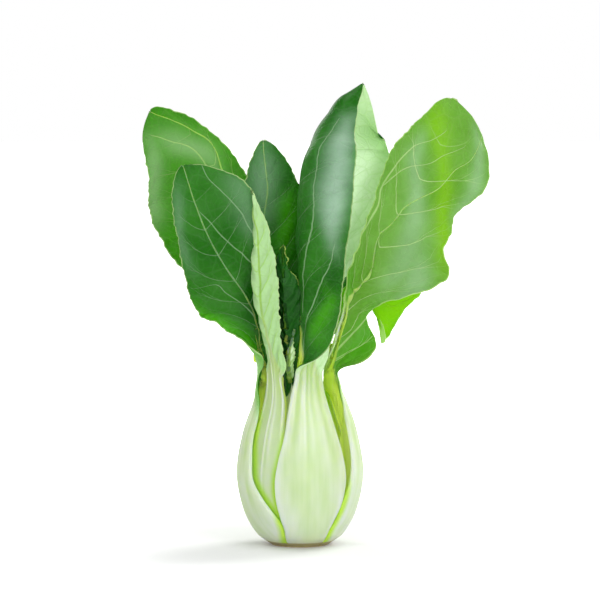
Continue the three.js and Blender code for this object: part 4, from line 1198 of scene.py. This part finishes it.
def stem_material(dry, fresh):
    """A dry cut stem: fibrous rings with a ring of darker bundles, and a fresher side."""
    material, n = new_material("Cut stem")
    place = n.add("TexCoord", {}, "Object")
    wave = {"Vector": place, "Scale": 90, "Distortion": 3, "Detail": 3}
    rings = n.add("TexWave", wave, "Fac", wave_type="RINGS", rings_direction="Z")
    fibre = n.noise(place, 700, 3)
    bundle = n.add("TexVoronoi", {"Vector": place, "Scale": 650}, "Distance")
    away = n.add("VectorMath", {0: place, 1: (1, 1, 0)}, operation="MULTIPLY")
    away = n.add("VectorMath", {0: away}, "Value", operation="LENGTH")
    circle = n.times(n.ramp(away, 0.0055, 0.007), n.ramp(away, 0.0085, 0.01, 1, 0))
    dots = n.times(n.ramp(bundle, 0.1, 0.35, 1, 0), circle)
    colour = n.mix(n.ramp(fibre, 0.3, 0.7), dry, tint(*STEM_FIBRE))
    colour = n.mix(n.times(rings, 0.35), colour, tint(*STEM_RING))
    colour = n.mix(n.times(dots, 0.8), colour, tint(*STEM_BUNDLE))
    height = n.add("SeparateXYZ", {0: place}, "Z")
    colour = n.mix(n.ramp(height, 0.0008, 0.003), colour, fresh)
    relief = n.total(n.times(rings, 0.5), n.less(fibre, dots))
    surface = n.add("BsdfPrincipled", {
        "Base Color": colour, "Roughness": n.ramp(fibre, 0.3, 0.7, 0.65, 0.85),
        "Normal": n.add("Bump", {"Height": relief, "Strength": 0.8, "Distance": 0.0003}),
        "Subsurface Weight": 0.1, "Subsurface Scale": 0.002, "Specular IOR Level": 0.3,
    })
    n.node("OutputMaterial", {"Surface": surface})
    return material


# ---- The stage ----
def area_light(name, place, target, size, power, colour):
    """A soft lamp that points at the target and that the camera doesn't see."""
    deselect()
    bpy.ops.object.light_add(type="AREA", location=place)
    light = bpy.context.object
    light.name = name
    light.data.shape = "RECTANGLE"
    light.data.size, light.data.size_y = size
    light.data.energy = power
    light.data.color = colour
    light.visible_camera = False
    direction = light.location - Vector(target)
    light.rotation_euler = direction.to_track_quat("Z", "Y").to_euler()


def world_light(strength):
    """A world that lights softly and looks plain white behind the head."""
    world = bpy.data.worlds.new("Studio")
    world.use_nodes = True
    bpy.context.scene.world = world
    world.node_tree.nodes.clear()
    n = Nodes(world.node_tree)
    path = n.node("LightPath", {})
    seen = n.highest(path["Is Camera Ray"], path["Is Glossy Ray"], path["Is Transmission Ray"])
    level = n.add("MapRange", {"Value": seen, "To Min": strength, "To Max": 1.0})
    n.node("OutputWorld", {"Surface": n.add("Background", {"Color": (1, 1, 1, 1), "Strength": level})})


def floor_material(colour, glow):
    """A pale floor that goes white where nothing shades it. The glow is only for the camera."""
    material, n = new_material("Pale floor")
    camera = n.add("LightPath", {}, "Is Camera Ray")
    away = n.add("VectorMath", {0: n.add("TexCoord", {}, "Object")}, "Value", operation="LENGTH")
    seen = n.times(camera, n.ramp(away, 0.05, 0.2, glow, 1.0))
    surface = n.add("BsdfPrincipled", {
        "Base Color": (*colour, 1), "Roughness": 0.9, "Specular IOR Level": 0.1,
        "Emission Color": (1, 1, 1, 1), "Emission Strength": seen,
    })
    n.node("OutputMaterial", {"Surface": surface})
    return material


# ---- Properties, operators and panel ----
class PakChoiSizes(bpy.types.PropertyGroup):
    """Sizes of the detail on the leaves and of the studio."""

    vein_height: FloatProperty(
        name="Vein height", description="How far a lateral vein stands out of a blade's underside",
        default=0.00035, min=0, unit="LENGTH",
    )
    pillow_depth: FloatProperty(
        name="Pillow depth", description="How far a blade bulges between its lateral veins",
        default=0.0005, min=0, unit="LENGTH",
    )
    rib_height: FloatProperty(
        name="Stalk rib height", description="Height of the ribs that run up a stalk",
        default=0.0005, min=0, unit="LENGTH",
    )
    swell: FloatProperty(
        name="Blade swell", description="Height of the slow waves over a blade",
        default=0.0006, min=0, unit="LENGTH",
    )
    camera_distance: FloatProperty(
        name="Camera distance", description="From the middle of the head to the camera",
        default=1.5, min=0.2, unit="LENGTH",
    )
    camera_height: FloatProperty(
        name="Camera aim", description="Height of the point that the camera looks at",
        default=0.1055, unit="LENGTH",
    )
    camera_tilt: FloatProperty(
        name="Camera tilt", description="How far the camera looks down",
        default=math.radians(4), subtype="ANGLE",
    )
    light: FloatProperty(
        name="Light", description="Share of the studio's full light", default=1, min=0, subtype="FACTOR",
    )


class PakChoiColours(bpy.types.PropertyGroup):
    """Colours of the stem and the studio."""

    stem_cut: FloatVectorProperty(
        name="Stem's cut", description="Colour of the dry face that the stem stands on",
        default=(0.42, 0.34, 0.18), size=3, subtype="COLOR", min=0, max=1,
    )
    stem_side: FloatVectorProperty(
        name="Stem's side", description="Colour of the stem above its cut",
        default=(0.72, 0.76, 0.42), size=3, subtype="COLOR", min=0, max=1,
    )
    floor: FloatVectorProperty(
        name="Floor", description="Colour of the floor", default=(0.8, 0.8, 0.8), size=3, subtype="COLOR",
        min=0, max=1,
    )
    floor_glow: FloatProperty(
        name="Floor glow", description="How much the floor brightens for the camera near the head",
        default=0.05, min=0, max=1, subtype="FACTOR",
    )


class PAKCHOI_OT_stem(bpy.types.Operator):
    """Build the short cut stem that the leaves grow from"""

    bl_idname = "pakchoi.stem"
    bl_label = "Cut stem"

    def execute(self, context):
        colours = context.scene.pakchoi_colours
        deselect()
        bpy.ops.mesh.primitive_circle_add(vertices=96, radius=STEM[0][1] * MM, fill_type="NGON")
        stem = context.object
        stem.name = stem.data.name = "cut_stem_fibrous"
        bpy.ops.object.mode_set(mode="EDIT")
        for (low, wide), (high, narrow) in zip(STEM, STEM[1:]):
            bpy.ops.mesh.extrude_region_move(TRANSFORM_OT_translate={"value": (0, 0, (high - low) * MM)})
            share = narrow / wide
            bpy.ops.transform.resize(value=(share, share, 1), center_override=(0, 0, high * MM))
        bpy.ops.mesh.select_all(action="SELECT")
        bpy.ops.mesh.normals_make_consistent(inside=False)
        bpy.ops.mesh.select_all(action="DESELECT")
        bpy.ops.object.mode_set(mode="OBJECT")
        for face in stem.data.polygons:
            face.select = face.normal.z < -0.9
        bpy.ops.object.mode_set(mode="EDIT")
        for inset, depth in STEM_RINGS:
            bpy.ops.mesh.inset(thickness=inset * MM, depth=-depth * MM)
        bpy.ops.object.mode_set(mode="OBJECT")
        bpy.ops.object.shade_smooth_by_angle(angle=math.radians(40))
        stem.data.materials.append(stem_material((*colours.stem_cut, 1), (*colours.stem_side, 1)))
        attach(stem, "root")
        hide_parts("cut_stem")
        return {"FINISHED"}


def grow_leaves(context, leaves):
    """Grows some of the leaves, in the order of the table."""
    for leaf in leaves:
        grow_leaf(leaf, context.scene.pakchoi_sizes, leaf_materials(leaf["tone"]))


class PAKCHOI_OT_outer_leaves(bpy.types.Operator):
    """Grow the four outermost leaves"""

    bl_idname = "pakchoi.outer_leaves"
    bl_label = "Outer leaves"

    def execute(self, context):
        grow_leaves(context, OUTER)
        return {"FINISHED"}


class PAKCHOI_OT_inner_leaves(bpy.types.Operator):
    """Grow the five leaves inside them"""

    bl_idname = "pakchoi.inner_leaves"
    bl_label = "Inner leaves"

    def execute(self, context):
        grow_leaves(context, INNER)
        return {"FINISHED"}


class PAKCHOI_OT_heart(bpy.types.Operator):
    """Grow the three small leaves of the heart"""

    bl_idname = "pakchoi.heart"
    bl_label = "Heart leaves"

    def execute(self, context):
        grow_leaves(context, HEART)
        return {"FINISHED"}


class PAKCHOI_OT_stage(bpy.types.Operator):
    """Set up the floor, the lamps, the world and the camera"""

    bl_idname = "pakchoi.stage"
    bl_label = "Stage"

    def execute(self, context):
        size, colours = context.scene.pakchoi_sizes, context.scene.pakchoi_colours
        deselect()
        bpy.ops.mesh.primitive_plane_add(size=FLOOR_SIZE)
        floor = context.object
        floor.name = "floor"
        floor.data.materials.append(floor_material(colours.floor, colours.floor_glow))
        for name, place, wide, power, colour in LAMPS:
            area_light(name, place, LAMPS_AIM, wide, power * size.light, colour)
        world_light(WORLD_LIGHT * size.light)
        tilt, distance = size.camera_tilt, size.camera_distance
        bpy.ops.object.camera_add(
            location=(0, -distance * math.cos(tilt), size.camera_height + distance * math.sin(tilt)),
            rotation=(math.radians(90) - tilt, 0, 0),
        )
        camera = context.object
        camera.data.sensor_width = SENSOR_WIDTH
        camera.data.lens = SENSOR_WIDTH * distance / VIEW_WIDTH
        context.scene.camera = camera
        context.scene.view_settings.view_transform = "Standard"
        return {"FINISHED"}


class PAKCHOI_PT_panel(bpy.types.Panel):
    """Lists the steps that build the head, and its sizes and colours"""

    bl_label = "Pak choi"
    bl_idname = "PAKCHOI_PT_panel"
    bl_space_type = "VIEW_3D"
    bl_region_type = "UI"
    bl_category = "Pak choi"

    def draw(self, context):
        for operator in OPERATORS:
            self.layout.operator(operator.bl_idname)
        for group in (context.scene.pakchoi_sizes, context.scene.pakchoi_colours):
            for name in group.bl_rna.properties.keys():
                if name not in ("rna_type", "name"):
                    self.layout.prop(group, name)


OPERATORS = (
    PAKCHOI_OT_stem, PAKCHOI_OT_outer_leaves, PAKCHOI_OT_inner_leaves, PAKCHOI_OT_heart, PAKCHOI_OT_stage,
)
CLASSES = (PakChoiSizes, PakChoiColours, *OPERATORS, PAKCHOI_PT_panel)


def register():
    for cls in CLASSES:
        bpy.utils.register_class(cls)
    bpy.types.Scene.pakchoi_sizes = PointerProperty(type=PakChoiSizes)
    bpy.types.Scene.pakchoi_colours = PointerProperty(type=PakChoiColours)


def unregister():
    del bpy.types.Scene.pakchoi_colours
    del bpy.types.Scene.pakchoi_sizes
    for cls in reversed(CLASSES):
        bpy.utils.unregister_class(cls)


def main():
    register()
    bpy.ops.pakchoi.stem()
    bpy.ops.pakchoi.outer_leaves()
    bpy.ops.pakchoi.inner_leaves()
    bpy.ops.pakchoi.heart()
    bpy.ops.pakchoi.stage()
    bpy.context.view_layer.update()


if __name__ == "__main__":
    main()
